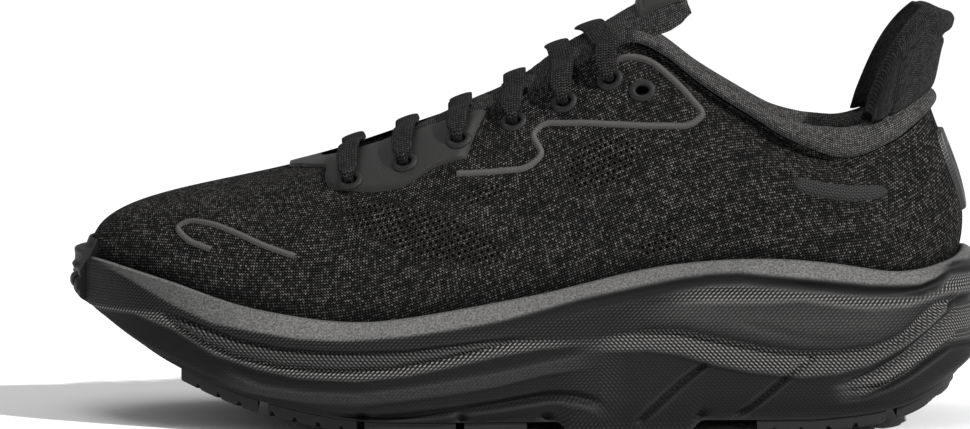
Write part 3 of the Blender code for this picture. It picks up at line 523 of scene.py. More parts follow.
POCKET = ((70.5, 36.7), (90.5, 31.8), (102, 30.8), (113, 32.8), (118.5, 36.4))
LENS = (
    (22.5, 32.1), (39, 34.7), (50, 34.7), (56.5, 33.1), (68, 30.8), (79.5, 28.5), (90.5, 27.2),
    (102, 27.5), (113, 28.8), (121.5, 31.8), (127, 35.7), (129, 38), (136, 43),
)
HEEL_BAND = (
    (22.5, 27.5), (39, 27.8), (50, 26.5), (60.5, 23.3), (73.5, 20.6), (90.5, 18.7), (102, 19.7),
    (113, 22.6), (124.5, 28.2), (132.5, 34.1), (138.5, 39.6), (143, 44),
)
KNEE = ((122, 28.5), (127, 31.1), (132.5, 35), (138.5, 39.6), (142.5, 45.2))
SLASHES = (((58.5, 22.9), (37.5, 7.2)), ((93.5, 24.9), (85, 18.3), (73.5, 8.5), (68, 5.2)))
FINS = (
    ((100, 13.1), (119, 15.7), (142, 27.5)),
    ((104.5, 16), (113, 19.3), (124.5, 25.5), (135.5, 33.4), (145, 40)),
    ((102, 11.5), (110.5, 12.4), (118.5, 15.4), (127, 19.3), (135.5, 24.6), (145, 31)),
)
SEAM = (  # lower seam of the padded panel round the collar
    (27, 127.7), (34, 128.4), (39.5, 127.1), (44, 124.1), (51, 118.9), (57.5, 113.3), (64, 108.7),
    (71, 104.8), (77.5, 100.9), (82, 97.3), (87.5, 94), (92.5, 91.4), (98, 90.4), (103, 89.4),
    (109.5, 90.1), (116.5, 92.7), (121.5, 95.6), (126, 99.6), (127.5, 104.1), (130, 107.4),
    (134.5, 110),
)
VENTS = (  # middle, half size, and lean of each group of holes in the knit
    ((24.5, 88.8), (16, 9), 0.45),
    ((-14, 78.6), (9, 3.6), 0.3),
    ((43.5, 62.2), (9, 4), 0.5),
    ((-34, 66), (34, 9), -0.28),
)
PUFF = 2.1 * MM  # how far the padded panel round the collar stands out
NOTCHES = (-55, -21.6, 6.5, 57)  # x of each notch in the foot of the foam
WALL_COLUMNS = 600
WALL_ROWS = 84
UPPER_COLUMNS = 540
SKIN_ROWS = 112
SWELL_VOXEL = 0.0045  # voxel size of the coarse copy that is simulated
SWELL_PRESSURE = 4.0
SWELL_FRAMES = 20
FLOOR_REACH = 30  # half the floor's side
WORLD_LIGHT = 0.39
KEY_LIGHT = 4.1
KEY_FROM = (1.1, -0.75, 1.0)  # direction toward the sun
TOP_LIGHT = 7
TOP_FROM = (-0.3, -0.1, 1.4)
TOP_SIZE = (1.6, 0.5)
SENSOR = 36  # width of the camera's sensor, in millimetres
VIEW_WIDTH = 0.31768  # width of the view at the shoe
VIEW_DISTANCE = 1.8
VIEW_TILT = math.radians(5)
VIEW_MIDDLE = (-0.01376, -0.045, 0.07216)


# Small tools


def lengths(points):
    """Distance along a row of points, from its first one."""
    return np.concatenate([[0], np.cumsum(np.linalg.norm(np.diff(points, axis=0), axis=1))])


def even_positions(count, start=0.0, stop=2.0, inset=0.0):
    """Loop positions evenly spaced along the outline, without the last when the loop closes."""
    fine = np.linspace(start, stop, 2401)
    run = lengths(outline(fine, inset * np.ones_like(fine))[0])
    if stop - start >= 2:
        return np.interp(np.arange(count) / count * run[-1], run, fine)
    return np.interp(np.linspace(0, run[-1], count), run, fine)


def smoothed(values, reach):
    """A running mean over this many neighbours on each side."""
    count = 2 * reach + 1
    return np.convolve(np.pad(values, reach, mode="edge"), np.ones(count) / count, mode="valid")


def side_run(t):
    """Distance from the toe along either side, at a loop position."""
    fine = np.linspace(0, 1, 1201)
    run = lengths(outline(fine)[0])
    t = np.mod(t, 2)
    return np.interp(np.minimum(t, 2 - t), fine, run)


def smooth_step(value, low, high):
    s = np.clip((value - low) / (high - low), 0, 1)
    return s * s * (3 - 2 * s)


def within(value, low, high, soft):
    return smooth_step(value, low, low + soft) * (1 - smooth_step(value, high - soft, high))


def level(line, x):
    """Height of a line, in metres, and how far the tilt shortens a gap above it, at each x."""
    table = np.array(line, float) * MM
    z = np.interp(x, table[:, 0] * X_SCALE, table[:, 1])
    ahead = np.interp(x + 2 * MM, table[:, 0] * X_SCALE, table[:, 1])
    back = np.interp(x - 2 * MM, table[:, 0] * X_SCALE, table[:, 1])
    slope = (ahead - back) / (4 * MM)
    return z, 1 / np.sqrt(1 + slope**2)


def gap_above(line, x, z):
    height, share = level(line, x)
    return (z - height) * share


def far_from(line, x, z):
    """Distance from a line of (x, height) in millimetres."""
    table = np.array(line, float) * MM
    table[:, 0] *= X_SCALE
    nearest = np.full(np.shape(x), 1.0)
    for (ax, az), (bx, bz) in zip(table, table[1:]):
        dx, dz = bx - ax, bz - az
        s = np.clip(((x - ax) * dx + (z - az) * dz) / (dx * dx + dz * dz), 0, 1)
        nearest = np.minimum(nearest, np.hypot(x - ax - s * dx, z - az - s * dz))
    return nearest


def hump(gap, width):
    return np.exp(-((gap / width) ** 2))


def ledge(gap, width):
    return 0.5 * (1 + np.tanh(gap / width))


def add_object(name, data):
    obj = bpy.data.objects.new(name, data)
    bpy.context.scene.collection.objects.link(obj)
    return obj


class Shape:
    """Grids of points gathered into one mesh, with places on the surface in millimetres as UVs."""

    def __init__(self):
        self.verts, self.faces, self.uvs, self.marks = [], [], [], {}

    def grid(self, points, uv=None, round_rows=False, round_cols=False, keep=None, **marks):
        rows, cols = points.shape[:2]
        start = sum(len(v) for v in self.verts)
        if uv is None:
            uv = surface_uv(points)
        index = start + np.arange(rows * cols).reshape(rows, cols)
        if round_rows:
            index = np.vstack([index, index[:1]])
            if len(uv) == rows:
                uv = np.concatenate([uv, uv[-1:] + (uv[-1:] - uv[-2:-1])])
        if round_cols:
            index = np.hstack([index, index[:, :1]])
            if uv.shape[1] == cols:
                uv = np.concatenate([uv, uv[:, -1:] + (uv[:, -1:] - uv[:, -2:-1])], 1)
        corner = [index[:-1, :-1], index[:-1, 1:], index[1:, 1:], index[1:, :-1]]
        places = [uv[:-1, :-1], uv[:-1, 1:], uv[1:, 1:], uv[1:, :-1]]
        quads = np.stack(corner, -1).reshape(-1, 4)
        spots = np.stack(places, -2).reshape(-1, 4, 2)
        if keep is not None:
            flags = keep[: corner[0].shape[0], : corner[0].shape[1]].reshape(-1)
            quads, spots = quads[flags], spots[flags]
        self.verts.append(points.reshape(-1, 3))
        self.faces.append(quads)
        self.uvs.append(spots)
        for key in set(self.marks) | set(marks):
            held = self.marks.setdefault(key, [np.zeros(start)])
            held.append(np.broadcast_to(marks.get(key, 0.0), (rows, cols)).reshape(-1))
        return index

    def fill(self, loop, centre):
        """Closes a loop of vertex numbers with a fan to its middle."""
        start = sum(len(v) for v in self.verts)
        self.verts.append(np.array([centre]))
        for key in self.marks:
            self.marks[key].append(np.zeros(1))
        ahead = np.roll(loop, -1)
        quads = np.stack([loop, ahead, np.full(len(loop), start), np.full(len(loop), -1)], -1)
        self.faces.append(quads)
        self.uvs.append(np.zeros((len(loop), 4, 2)))

    def tube(self, loop, uv=None):
        """Cross-sections side by side, closed round their points and at both ends."""
        index = self.grid(loop, uv, round_rows=True)
        self.fill(index[:-1, 0], loop[:, 0].mean(axis=0))
        self.fill(index[:-1, -1][::-1], loop[:, -1].mean(axis=0))
        return self

    def stack(self, loops):
        """Loops one above another, closed at both ends."""
        loops = np.array(loops)
        index = self.grid(loops, round_cols=True)
        self.fill(index[0, :-1][::-1], loops[0].mean(axis=0))
        self.fill(index[-1, :-1], loops[-1].mean(axis=0))
        return self

    def sheet(self, face, back, keep=None):
        """The two faces of a thin piece."""
        self.grid(face, keep=keep)
        self.grid(back[::-1], keep=None if keep is None else keep[::-1])
        return self

    def build(self, name, mat, sharp=None, outward=True):
        verts = np.concatenate(self.verts)
        quads = np.concatenate(self.faces)
        spots = np.concatenate(self.uvs)
        faces = [tuple(q) if q[3] >= 0 else tuple(q[:3]) for q in quads.tolist()]
        if outward and volume(verts, faces) < 0:
            faces = [f[::-1] for f in faces]
            spots = [s[: len(f)][::-1] for s, f in zip(spots, faces)]
        else:
            spots = [s[: len(f)] for s, f in zip(spots, faces)]
        mesh = bpy.data.meshes.new(name)
        mesh.from_pydata(verts.tolist(), [], faces)
        layer = mesh.uv_layers.new(name="Surface")
        layer.data.foreach_set("uv", np.concatenate(spots).astype(np.float32).reshape(-1))
        for key, values in self.marks.items():
            attribute = mesh.attributes.new(key, "FLOAT", "POINT")
            attribute.data.foreach_set("value", np.concatenate(values).astype(np.float32))
        mesh.materials.append(mat)
        mesh.polygons.foreach_set("use_smooth", [True] * len(mesh.polygons))
        if sharp:
            mesh.set_sharp_from_angle(angle=math.radians(sharp))
        return add_object(name, mesh)


def volume(verts, faces):
    quads = np.array([f if len(f) == 4 else (*f, f[0]) for f in faces])
    a, b, c, d = (verts[quads[:, i]] for i in range(4))
    return float((np.einsum("ij,ij->i", a, np.cross(b, c)) + np.einsum("ij,ij->i", a, np.cross(c, d))).sum())


def surface_uv(points):
    """Distances along the two directions of a grid, in millimetres."""
    rows, cols = points.shape[:2]
    uv = np.zeros((rows, cols, 2))
    if cols > 1:
        steps = np.linalg.norm(np.diff(points, axis=1), axis=2).mean(axis=0)
        uv[:, 1:, 0] = np.cumsum(steps)[None, :]
    if rows > 1:
        uv[1:, :, 1] = np.cumsum(np.linalg.norm(np.diff(points, axis=0), axis=2), axis=0)
    return uv / MM


def place(obj, slot, *nodes, body="shoe"):
    """Puts a piece on its body, in place of its CAD nodes."""
    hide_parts(*nodes)
    if body:
        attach(obj, body)
    return obj


# Materials


class Paint:
    """A Principled material built up from nodes."""

    def __init__(self, name, roughness=0.6, specular=0.5, **settings):
        self.material = bpy.data.materials.new(name)
        self.material.use_nodes = True
        self.tree = self.material.node_tree
        self.shader = self.tree.nodes["Principled BSDF"]
        self.shader.inputs["Roughness"].default_value = roughness
        self.shader.inputs["Specular IOR Level"].default_value = specular
        for key, value in settings.items():
            self.shader.inputs[key.replace("_", " ")].default_value = value

    def node(self, kind, inputs=None, **settings):
        made = self.tree.nodes.new(kind)
        for key, value in settings.items():
            setattr(made, key, value)
        for key, value in (inputs or {}).items():
            self.put(made.inputs[key], value)
        return made

    def put(self, socket, value):
        if isinstance(value, bpy.types.NodeSocket):
            self.tree.links.new(value, socket)
        else:
            socket.default_value = value

    def math(self, operation, a, b=0.0, c=0.0):
        return self.node("ShaderNodeMath", {0: a, 1: b, 2: c}, operation=operation).outputs[0]

    def times(self, a, b):
        return self.math("MULTIPLY", a, b)

    def madd(self, a, b, c):
        """a times b, plus c."""
        return self.math("MULTIPLY_ADD", a, b, c)

    def power(self, a, b):
        return self.math("POWER", a, b)

    def over(self, a, b):
        return self.math("DIVIDE", a, b)

    def wave(self, value):
        """0 to 1 and back to 0 over each whole number."""
        return self.times(self.math("PINGPONG", value, 0.5), 2.0)

    def crossed(self, u, v, step):
        """Dots where two sets of waves, one along each of u and v, cross."""
        return self.times(self.wave(self.over(u, step)), self.wave(self.over(v, step)))

    def ramp(self, value, low, high, start=0.0, stop=1.0):
        inputs = {0: value, 1: low, 2: high, 3: start, 4: stop}
        return self.node("ShaderNodeMapRange", inputs, interpolation_type="SMOOTHSTEP").outputs[0]

    def mix(self, share, a, b):
        made = self.node("ShaderNodeMix", {0: share, 6: a, 7: b}, data_type="RGBA")
        return made.outputs[2]

    def attribute(self, name):
        return self.node("ShaderNodeAttribute", attribute_name=name).outputs["Fac"]

    def noise(self, scale, detail=3.0, vector=None, roughness=0.5):
        inputs = {"Scale": scale, "Detail": detail, "Roughness": roughness}
        if vector is not None:
            inputs["Vector"] = vector
        return self.node("ShaderNodeTexNoise", inputs).outputs["Fac"]

    def place(self):
        """Place in the object's own space."""
        return self.node("ShaderNodeTexCoord").outputs["Object"]

    def surface(self, turn=0.0):
        """The two distances along the surface, in millimetres, turned by an angle."""
        uv = self.node("ShaderNodeUVMap", uv_map="Surface").outputs[0]
        if turn:
            inputs = {"Vector": uv, "Angle": turn}
            uv = self.node("ShaderNodeVectorRotate", inputs, rotation_type="Z_AXIS").outputs[0]
        split = self.node("ShaderNodeSeparateXYZ", {0: uv})
        return split.outputs[0], split.outputs[1]

    def join(self, x, y, z=0.0):
        return self.node("ShaderNodeCombineXYZ", {0: x, 1: y, 2: z}).outputs[0]

    def cell(self, x, y):
        """A random value for each whole pair."""
        inputs = {0: self.join(self.math("FLOOR", x), self.math("FLOOR", y))}
        return self.node("ShaderNodeTexWhiteNoise", inputs, noise_dimensions="2D").outputs[0]

    def bump(self, height, distance, strength=1.0, below=None):
        inputs = {"Height": height, "Distance": distance, "Strength": strength}
        if below is not None:
            inputs["Normal"] = below
        return self.node("ShaderNodeBump", inputs).outputs[0]

    def finish(self, colour=None, roughness=None, normal=None):
        for name, value in (("Base Color", colour), ("Roughness", roughness), ("Normal", normal)):
            if value is not None:
                self.put(self.shader.inputs[name], value)
        return self.material


def grey(level, warm=0.0):
    return (level * (1 + warm), level, level * (1 - warm * 0.6), 1.0)


def convex_edges(paint, strong=1.0):
    """More where the surface is convex."""
    point = paint.node("ShaderNodeNewGeometry").outputs["Pointiness"]
    return paint.ramp(point, 0.505, 0.56, 0.0, strong)


def knit_stitches(paint, wide, high, turn):
    """Height of a knit's stitches, a random value for each, and its coordinates."""
    u, v = paint.surface(turn)
    a, b = paint.over(u, wide), paint.over(v, high)
    leg = paint.wave(a)
    row = paint.madd(leg, 0.6, b)
    yarn = paint.power(paint.wave(row), 0.7)
    lifted = paint.madd(paint.power(leg, 0.6), 0.6, 0.4)
    return paint.times(yarn, lifted), paint.cell(a, row), u, v


def paint_knit():
    """The upper's knit: flecked stitches in uneven courses, with painted shade between the stitches and
    painted highlights on their crowns; where it is vented, round holes are painted near-black as painted
    shade.
    """
    paint = Paint("knit_fabric", 0.85, 0.03)
    height, chance, u, v = knit_stitches(paint, 0.98, 0.95, -0.20)
    drift = paint.noise(1.0, 2.0, paint.join(paint.times(u, 0.05), paint.times(v, 0.22)))
    fine = paint.noise(1.0, 1.0, paint.join(paint.times(u, 0.55), paint.times(v, 1.1)))
    fleck = paint.madd(paint.power(chance, 2.0), 0.75, 0.10)
    bright = paint.power(paint.madd(fine, 0.30, fleck), 1.5)
    share = paint.times(bright, paint.madd(paint.ramp(drift, 0.35, 0.65), 0.35, 0.70))
    share = paint.times(share, paint.madd(paint.attribute("plain"), -0.9, 1.0))
    # The flecks are lighter yarn at random stitches, and also a painted highlight, since they show only on
    # the stitch crowns.
    share = paint.times(share, paint.power(height, 3.5))
    hole_y = paint.over(v, 2.3)
    shifted = paint.madd(paint.math("MODULO", paint.math("FLOOR", hole_y), 2.0), 0.5, paint.over(u, 2.15))
    dx, dy = (paint.math("SUBTRACT", paint.math("FRACT", place), 0.5) for place in (shifted, hole_y))
    far = paint.math("SQRT", paint.madd(dx, dx, paint.times(dy, dy)))
    vented = paint.ramp(paint.attribute("vents"), 0.25, 0.6)
    # Painted shade: each vent hole is near-black, and the glow is a painted highlight on the stitch crowns
    # round it.
    holes = paint.times(paint.ramp(far, 0.20, 0.30, 1.0, 0.0), vented)
    glow = paint.times(paint.ramp(far, 0.30, 0.46, 1.0, 0.0), vented)
    # Painted shade: the stitches darken toward the gaps between them.
    base = paint.mix(height, grey(0.0006), grey(0.0055, 0.02))
    colour = paint.mix(share, base, grey(0.42, 0.05))
    colour = paint.mix(paint.times(glow, height), colour, grey(0.040, 0.08))
    colour = paint.mix(holes, colour, grey(0.0004))
    rough = paint.madd(share, -0.35, 0.85)
    slack = paint.bump(paint.noise(90.0, 3.0, paint.place()), 0.0012, 0.35)
    return paint.finish(colour, rough, paint.bump(paint.madd(holes, -1.5, height), 0.00055, 0.9, slack))


def paint_padding(name="padded_jersey", base_level=0.011):
    """Smooth padded jersey: finer and plainer than the upper's knit, with painted shade between the stitches
    and painted highlights (glints) on their crowns.
    """
    paint = Paint(name, 0.9, 0.04, Sheen_Weight=0.01, Sheen_Roughness=0.4)
    height, chance, _, _ = knit_stitches(paint, 0.78, 0.76, 0.0)
    # Painted shade darkens the gaps between stitches; the glints are painted highlights on the stitch crowns.
    base = paint.mix(height, grey(0.0012), grey(base_level))
    glint = paint.times(paint.madd(chance, 0.7, 0.3), paint.power(height, 2.2))
    colour = paint.mix(glint, base, grey(base_level * 26, 0.03))
    slack = paint.bump(paint.noise(70.0, 3.0, paint.place()), 0.0016, 0.4)
    return paint.finish(colour, None, paint.bump(height, 0.0003, 0.8, slack))


def paint_foam():
    """Moulded foam: bands of fine diamond texture between smooth ones, with a painted highlight where the
    mesh marks it, and lighter convex edges.
    """
    paint = Paint("sole_foam", 0.62, 0.11)
    u, v = paint.surface()
    a = paint.wave(paint.over(paint.math("ADD", u, v), 1.5))
    b = paint.wave(paint.over(paint.math("SUBTRACT", u, v), 1.5))
    slant = paint.math("GREATER_THAN", paint.attribute("slant"), 0.5)
    ribs = paint.math("ADD", paint.times(a, slant), paint.times(b, paint.math("SUBTRACT", 1.0, slant)))
    beads = paint.wave(paint.over(v, 1.0))
    cross = paint.times(ribs, paint.madd(beads, 0.6, 0.4))
    pattern = paint.attribute("pattern")
    raised_dot = paint.times(paint.ramp(cross, 0.25, 0.8), pattern)
    grain = paint.noise(1700.0, 2.0, paint.place(), 0.6)
    cloud = paint.noise(26.0, 4.0, paint.place())
    base = paint.mix(cloud, grey(0.0060), grey(0.0090))
    speck = paint.mix(paint.ramp(grain, 0.35, 0.65), grey(0.070, 0.02), grey(0.170, 0.02))
    # Painted highlight: where the light mark is set, the foam turns to pale grey speckle, or lighter grey
    # where textured, and its raised dots turn lighter too.
    base = paint.mix(paint.attribute("light"), base, paint.mix(pattern, speck, grey(0.010)))
    lit = paint.mix(paint.attribute("light"), grey(0.036, 0.03), grey(0.30, 0.03))
    colour = paint.mix(raised_dot, base, lit)
    colour = paint.mix(convex_edges(paint, 0.35), colour, grey(0.045, 0.03))
    rough = paint.madd(raised_dot, -0.16, paint.madd(grain, 0.12, 0.52))
    soft = paint.bump(grain, 0.00006, 0.6)
    return paint.finish(colour, rough, paint.bump(raised_dot, 0.00032, 0.9, soft))


def paint_rubber():
    paint = Paint("tread_rubber", 0.55, 0.10)
    grain = paint.noise(1800.0, 3.0, paint.place(), 0.65)
    cloud = paint.noise(35.0, 3.0, paint.place())
    colour = paint.mix(cloud, grey(0.0065), grey(0.0115))
    colour = paint.mix(convex_edges(paint, 0.6), colour, grey(0.030, 0.02))
    rough = paint.madd(grain, 0.22, 0.40)
    return paint.finish(colour, rough, paint.bump(grain, 0.0001, 0.7))


def paint_film(name="satin_film", glint=0.045):
    """Satin film printed with fine dots."""
    paint = Paint(name, 0.45, 0.18)
    u, v = paint.surface(0.785)
    dots = paint.crossed(u, v, 0.62)
    mottle = paint.noise(900.0, 4.0, paint.place(), 0.7)
    wide = paint.noise(60.0, 2.0, paint.place())
    base = paint.mix(mottle, grey(glint * 0.12, 0.04), grey(glint * 0.6, 0.04))
    base = paint.mix(wide, base, grey(glint * 0.3, 0.04))
    colour = paint.mix(paint.ramp(dots, 0.35, 0.8), base, grey(glint, 0.05))
    colour = paint.mix(convex_edges(paint, 0.3), colour, grey(0.045, 0.04))
    rough = paint.madd(mottle, 0.25, 0.36)
    return paint.finish(colour, rough, paint.bump(dots, 0.00012, 0.7))


def paint_webbing(name="flat_webbing", base_level=0.007, glint_level=0.085):
    """Flat woven lace: two sets of slanting yarns."""
    paint = Paint(name, 0.8, 0.05)
    u, v = paint.surface()
    across = paint.wave(paint.over(v, 1.8))
    lean = paint.madd(across, 0.6, paint.over(u, 0.9))
    yarn = paint.wave(lean)
    rib = paint.wave(paint.over(v, 0.9))
    height = paint.times(paint.power(yarn, 0.6), paint.madd(rib, 0.5, 0.5))
    chance = paint.cell(lean, paint.over(v, 0.9))
    # Painted shade darkens the gaps between the yarns; the glints are painted highlights on the yarn crowns.
    colour = paint.mix(height, grey(base_level * 0.25), grey(base_level * 1.5, 0.02))
    glint = paint.times(paint.madd(chance, 0.7, 0.3), paint.power(height, 2.5))
    colour = paint.mix(glint, colour, grey(glint_level, 0.03))
    return paint.finish(colour, None, paint.bump(height, 0.00035, 0.9))


def paint_reflective():
    paint = Paint("reflective_film", 0.40, 0.35)
    u, v = paint.surface(0.785)
    scales = paint.crossed(u, v, 0.9)
    cloud = paint.noise(50.0, 3.0, paint.place())
    colour = paint.mix(cloud, grey(0.014), grey(0.026))
    colour = paint.mix(paint.ramp(scales, 0.3, 0.8), colour, grey(0.045))
    rough = paint.madd(cloud, 0.15, 0.32)
    return paint.finish(colour, rough, paint.bump(scales, 0.0001, 0.6))


def paint_plain(name, dark, light, roughness, grain_scale, depth):
    """Matte stock with a fine grain, for the pieces mostly hidden inside."""
    paint = Paint(name, roughness, 0.4)
    grain = paint.noise(grain_scale, 4.0, paint.place(), 0.65)
    cloud = paint.noise(40.0, 2.0, paint.place())
    colour = paint.mix(paint.madd(grain, 0.6, paint.times(cloud, 0.4)), dark, light)
    rough = paint.madd(grain, 0.15, roughness - 0.08)
    return paint.finish(colour, rough, paint.bump(grain, depth, 0.8))


# Sole


def wall_relief(x, z):
    """How far the foam's side stands out, where it is textured, where it gets a painted highlight, and which
    way its ribs slant.
    """
    at = x / MM

    def gap(line):
        return gap_above(line, x, z) / MM

    def past(low, high):
        return smooth_step(at, low, high)

    front, rear, heel, brow = 1 - past(4, 26), past(14, 34), past(40, 62), past(-60, 40)
    wedge, reach = within(at, -126, 2, 14), within(at, -70, 30, 12)
    belly = within(at, 26, 136, 26)
    band, heel_band, ridge, lens = gap(BAND), gap(HEEL_BAND), gap(RIDGE), gap(LENS)
    groove_a, groove_b, groove_d = gap(GROOVE_A), gap(GROOVE_B), gap(GROOVE_D)
    under = gap(CHAMFER) + 2.4
    rib = ledge(-gap(RIB_TOP), 0.6) * ledge(gap(RIB_LOW), 0.6) * within(at, -106, 26, 16)
    q = np.clip(-ridge / np.maximum(lens - ridge, 1), 0, 1)
    dome = 4 * q * (1 - q) * (ridge < 0) * (lens > 0)
    out = -(1.7 * hump(groove_a, 0.9) + 2.0 * hump(groove_b, 1.0)) * wedge
    out = out - 1.3 * ledge(-band, 0.7) * front * past(-138, -112) + 1.7 * rib
    out = out + (0.9 * hump(groove_d + 2.6, 1.0) - 2.2 * hump(groove_d, 1.2)) * reach
    out = out + (0.5 * hump(ridge, 0.9) - 1.3 * hump(ridge - 2.6, 2.2)) * heel + 1.8 * dome * belly
    out = out - 0.8 * hump(gap(POCKET), 1.5) * within(at, 66, 122, 12)
    out = out - 2.2 * hump(lens + 1.3, 1.5) * past(14, 40) - 1.6 * ledge(-heel_band, 0.7) * rear
    out = out + 1.2 * hump(gap(KNEE), 1.0) * past(116, 126) - 1.6 * hump(under, 1.7) * brow
    for notch in NOTCHES:
        out = out - 3.5 * hump(far_from(((notch, 2), (notch + 0.5, 5.5)), x, z) / MM, 1.8)
    for line in SLASHES:
        out = out - 2.0 * hump(far_from(line, x, z) / MM, 0.75)
    for line in FINS:
        out = out - 1.8 * hump(gap(line), 1.0) * past(98, 108)
    between = ledge(groove_b, 0.3) * ledge(-groove_a, 0.3) * front
    smooth_low = front * ledge(-band, 0.5) + rear * ledge(-heel_band, 0.5)
    inside_lens = ledge(-ridge, 0.5) * ledge(lens, 0.5) * past(26, 60)
    chamfer = ledge(gap(CHAMFER), 0.4)
    crest = front * ledge(band, 0.4) * ledge(-groove_b, 0.4)
    tail_band = rear * ledge(heel_band, 0.4) * ledge(-lens, 0.4)
    brow_band = heel * ledge(ridge + 1, 0.6) * ledge(-under - 2, 0.6)
    fin = ledge(-gap(FINS[1]), 0.4) * ledge(gap(FINS[2]), 0.4) + 0.8 * hump(gap(FINS[0]) - 2.2, 1.4)
    fin = fin * past(100, 112)
    pattern = np.clip(1 - 0.8 * smooth_low, 0, 1) * (1 - 0.45 * inside_lens) * (1 - chamfer)
    pattern = np.clip(pattern * (1 - brow * ledge(under + 2, 0.4)) + fin, 0, 1)
    # Painted highlight: the up-facing chamfer, the top of the lens's dome, the fins, the band between the
    # grooves, the rib and the raised bands are marked lighter, as light from above shows them.
    light = 0.7 * fin + 0.3 * dome * belly + 0.35 * between * wedge + 0.15 * rib
    light = light + 0.9 * chamfer * (0.25 + 0.75 * past(-150, -70))
    light = np.clip(light + crest + 0.8 * tail_band + 0.85 * brow_band, 0, 1)
    slant = np.clip(between + rear * ledge(-lens, 0.3), 0, 1)
    return out * MM, pattern, light, slant


def foam_inset(t, share, z):
    """Inset of the foam's side from the outline, with a chamfer under the rim and a rounded foot."""
    high = rim(t)
    x = outline(t)[0][..., 0]
    edge = np.minimum(level(CHAMFER, x)[0], high - 1.2 * MM)
    slope = np.clip((z - edge) / np.maximum(high - edge, 1 * MM), 0, 1)
    top = 0.9 * MM + 4.5 * MM * slope**1.15
    below = 0.9 * MM * np.exp(-np.clip(edge - z, 0, None) / (2.5 * MM))
    inset = np.where(z > edge, top, below)
    foot = np.clip(1 - share / 0.17, 0, 1)
    inset = inset + 5.2 * MM * foot**1.8
    return wall_inset(t, share, inset)


def build_midsole(mat):
    t = even_positions(WALL_COLUMNS)
    share = np.linspace(0, 1, WALL_ROWS)
    tt, ss = np.broadcast_arrays(t[None, :], share[:, None])
    low, high = underside(tt), rim(tt)
    z = low + ss * (high - low)
    inset = foam_inset(tt, ss, z)
    x = outline(tt, inset)[0][..., 0]
    out, pattern, light, slant = wall_relief(x, z)
    ease = smooth_step(ss, 0, 0.06) * (1 - smooth_step(ss, 0.95, 1.0))
    cover = 1 - smooth_step(np.minimum(tt, 2 - tt), 0.10, 0.17)
    out = out * ease * (1 - cover)
    wall = raised(outline(tt, inset - out)[0], z - waist_drop(tt) * (1 - ss / 0.3).clip(0, 1) ** 1.5)
    uv = np.stack([side_run(tt) / MM, z / MM], -1)
    uv = np.concatenate([uv, uv[:, :1]], 1)
    shape = Shape()
    shape.grid(wall, uv, round_cols=True, pattern=pattern, light=light, slant=slant)
    cup = cup_inset(t)
    edge = inset[-1]
    lip = ((0.25, 0.35), (0.5, 0.45), (0.8, 0.2), (1.0, -0.5))  # share across, height in millimetres
    rows = [ring(t, edge + (cup - edge) * a, rim(t) + b * MM) for a, b in lip]
    rows = [wall[-1]] + rows + [ring(t, cup, rim(t) - 3 * MM), ring(t, cup, foot_bed(t))]
    # Painted highlight on the rim's rounded top.
    shape.grid(np.array(rows), round_cols=True, light=0.8)
    bed = [ring(t, cup + d * MM, foot_bed(t)) for d in (0, 8, 18)]
    last = shape.grid(np.array(bed), round_cols=True)
    shape.fill(last[-1, :-1], bed[-1].mean(axis=0))
    under = [ring(t, inset[0] + d * MM, underside(t) - waist_drop(t)) for d in (18, 8, 0)]
    first = shape.grid(np.array(under), round_cols=True)
    shape.fill(first[0, :-1][::-1], under[0].mean(axis=0))
    return place(shape.build("sole_midsole", mat), "midsole_foam", "midsole")


def tread_steps(count):
    """Places across a pod and the share of its depth there, with a rounded edge at each end."""
    inner = np.linspace(0.03, 0.97, count)
    place_at = np.concatenate([[0, 0, 0.004, 0.013], inner, [0.987, 0.996, 1, 1]])
    depth = np.concatenate([[0, 0.72, 0.9, 0.98], np.ones(count), [0.98, 0.9, 0.72, 0]])
    return place_at, depth


def build_pod(name, u_range, shares, mat):
    """A rubber pod with slanting grooves cut across its underside."""
    a, depth_a = tread_steps(46)
    b, depth_b = tread_steps(40)
    u = u_range[0] + (u_range[1] - u_range[0]) * a
    s = shares[0] + (shares[1] - shares[0]) * b
    uu, ss = np.meshgrid(u, s, indexing="ij")
    top = bottom_point(uu, ss) - UP * GAP
    depth = np.minimum(depth_a[:, None], depth_b[None, :])
    middle = 0.5 * (shares[0] + shares[1])
    lean = top[..., 0] + 0.55 * np.abs(top[..., 1] - bottom_point(u_range[0], middle)[1])
    cut = np.abs(np.mod(lean / (8.5 * MM), 1) - 0.5)
    groove = 1 - smooth_step(cut, 0.07, 0.13)
    down = RUBBER * depth * (1 - 0.38 * groove)
    low = top - UP * down[..., None]
    return place(Shape().sheet(low, top).build(f"tread_{name}", mat, 50), "outsole_rubber", f"outsole_{name}")


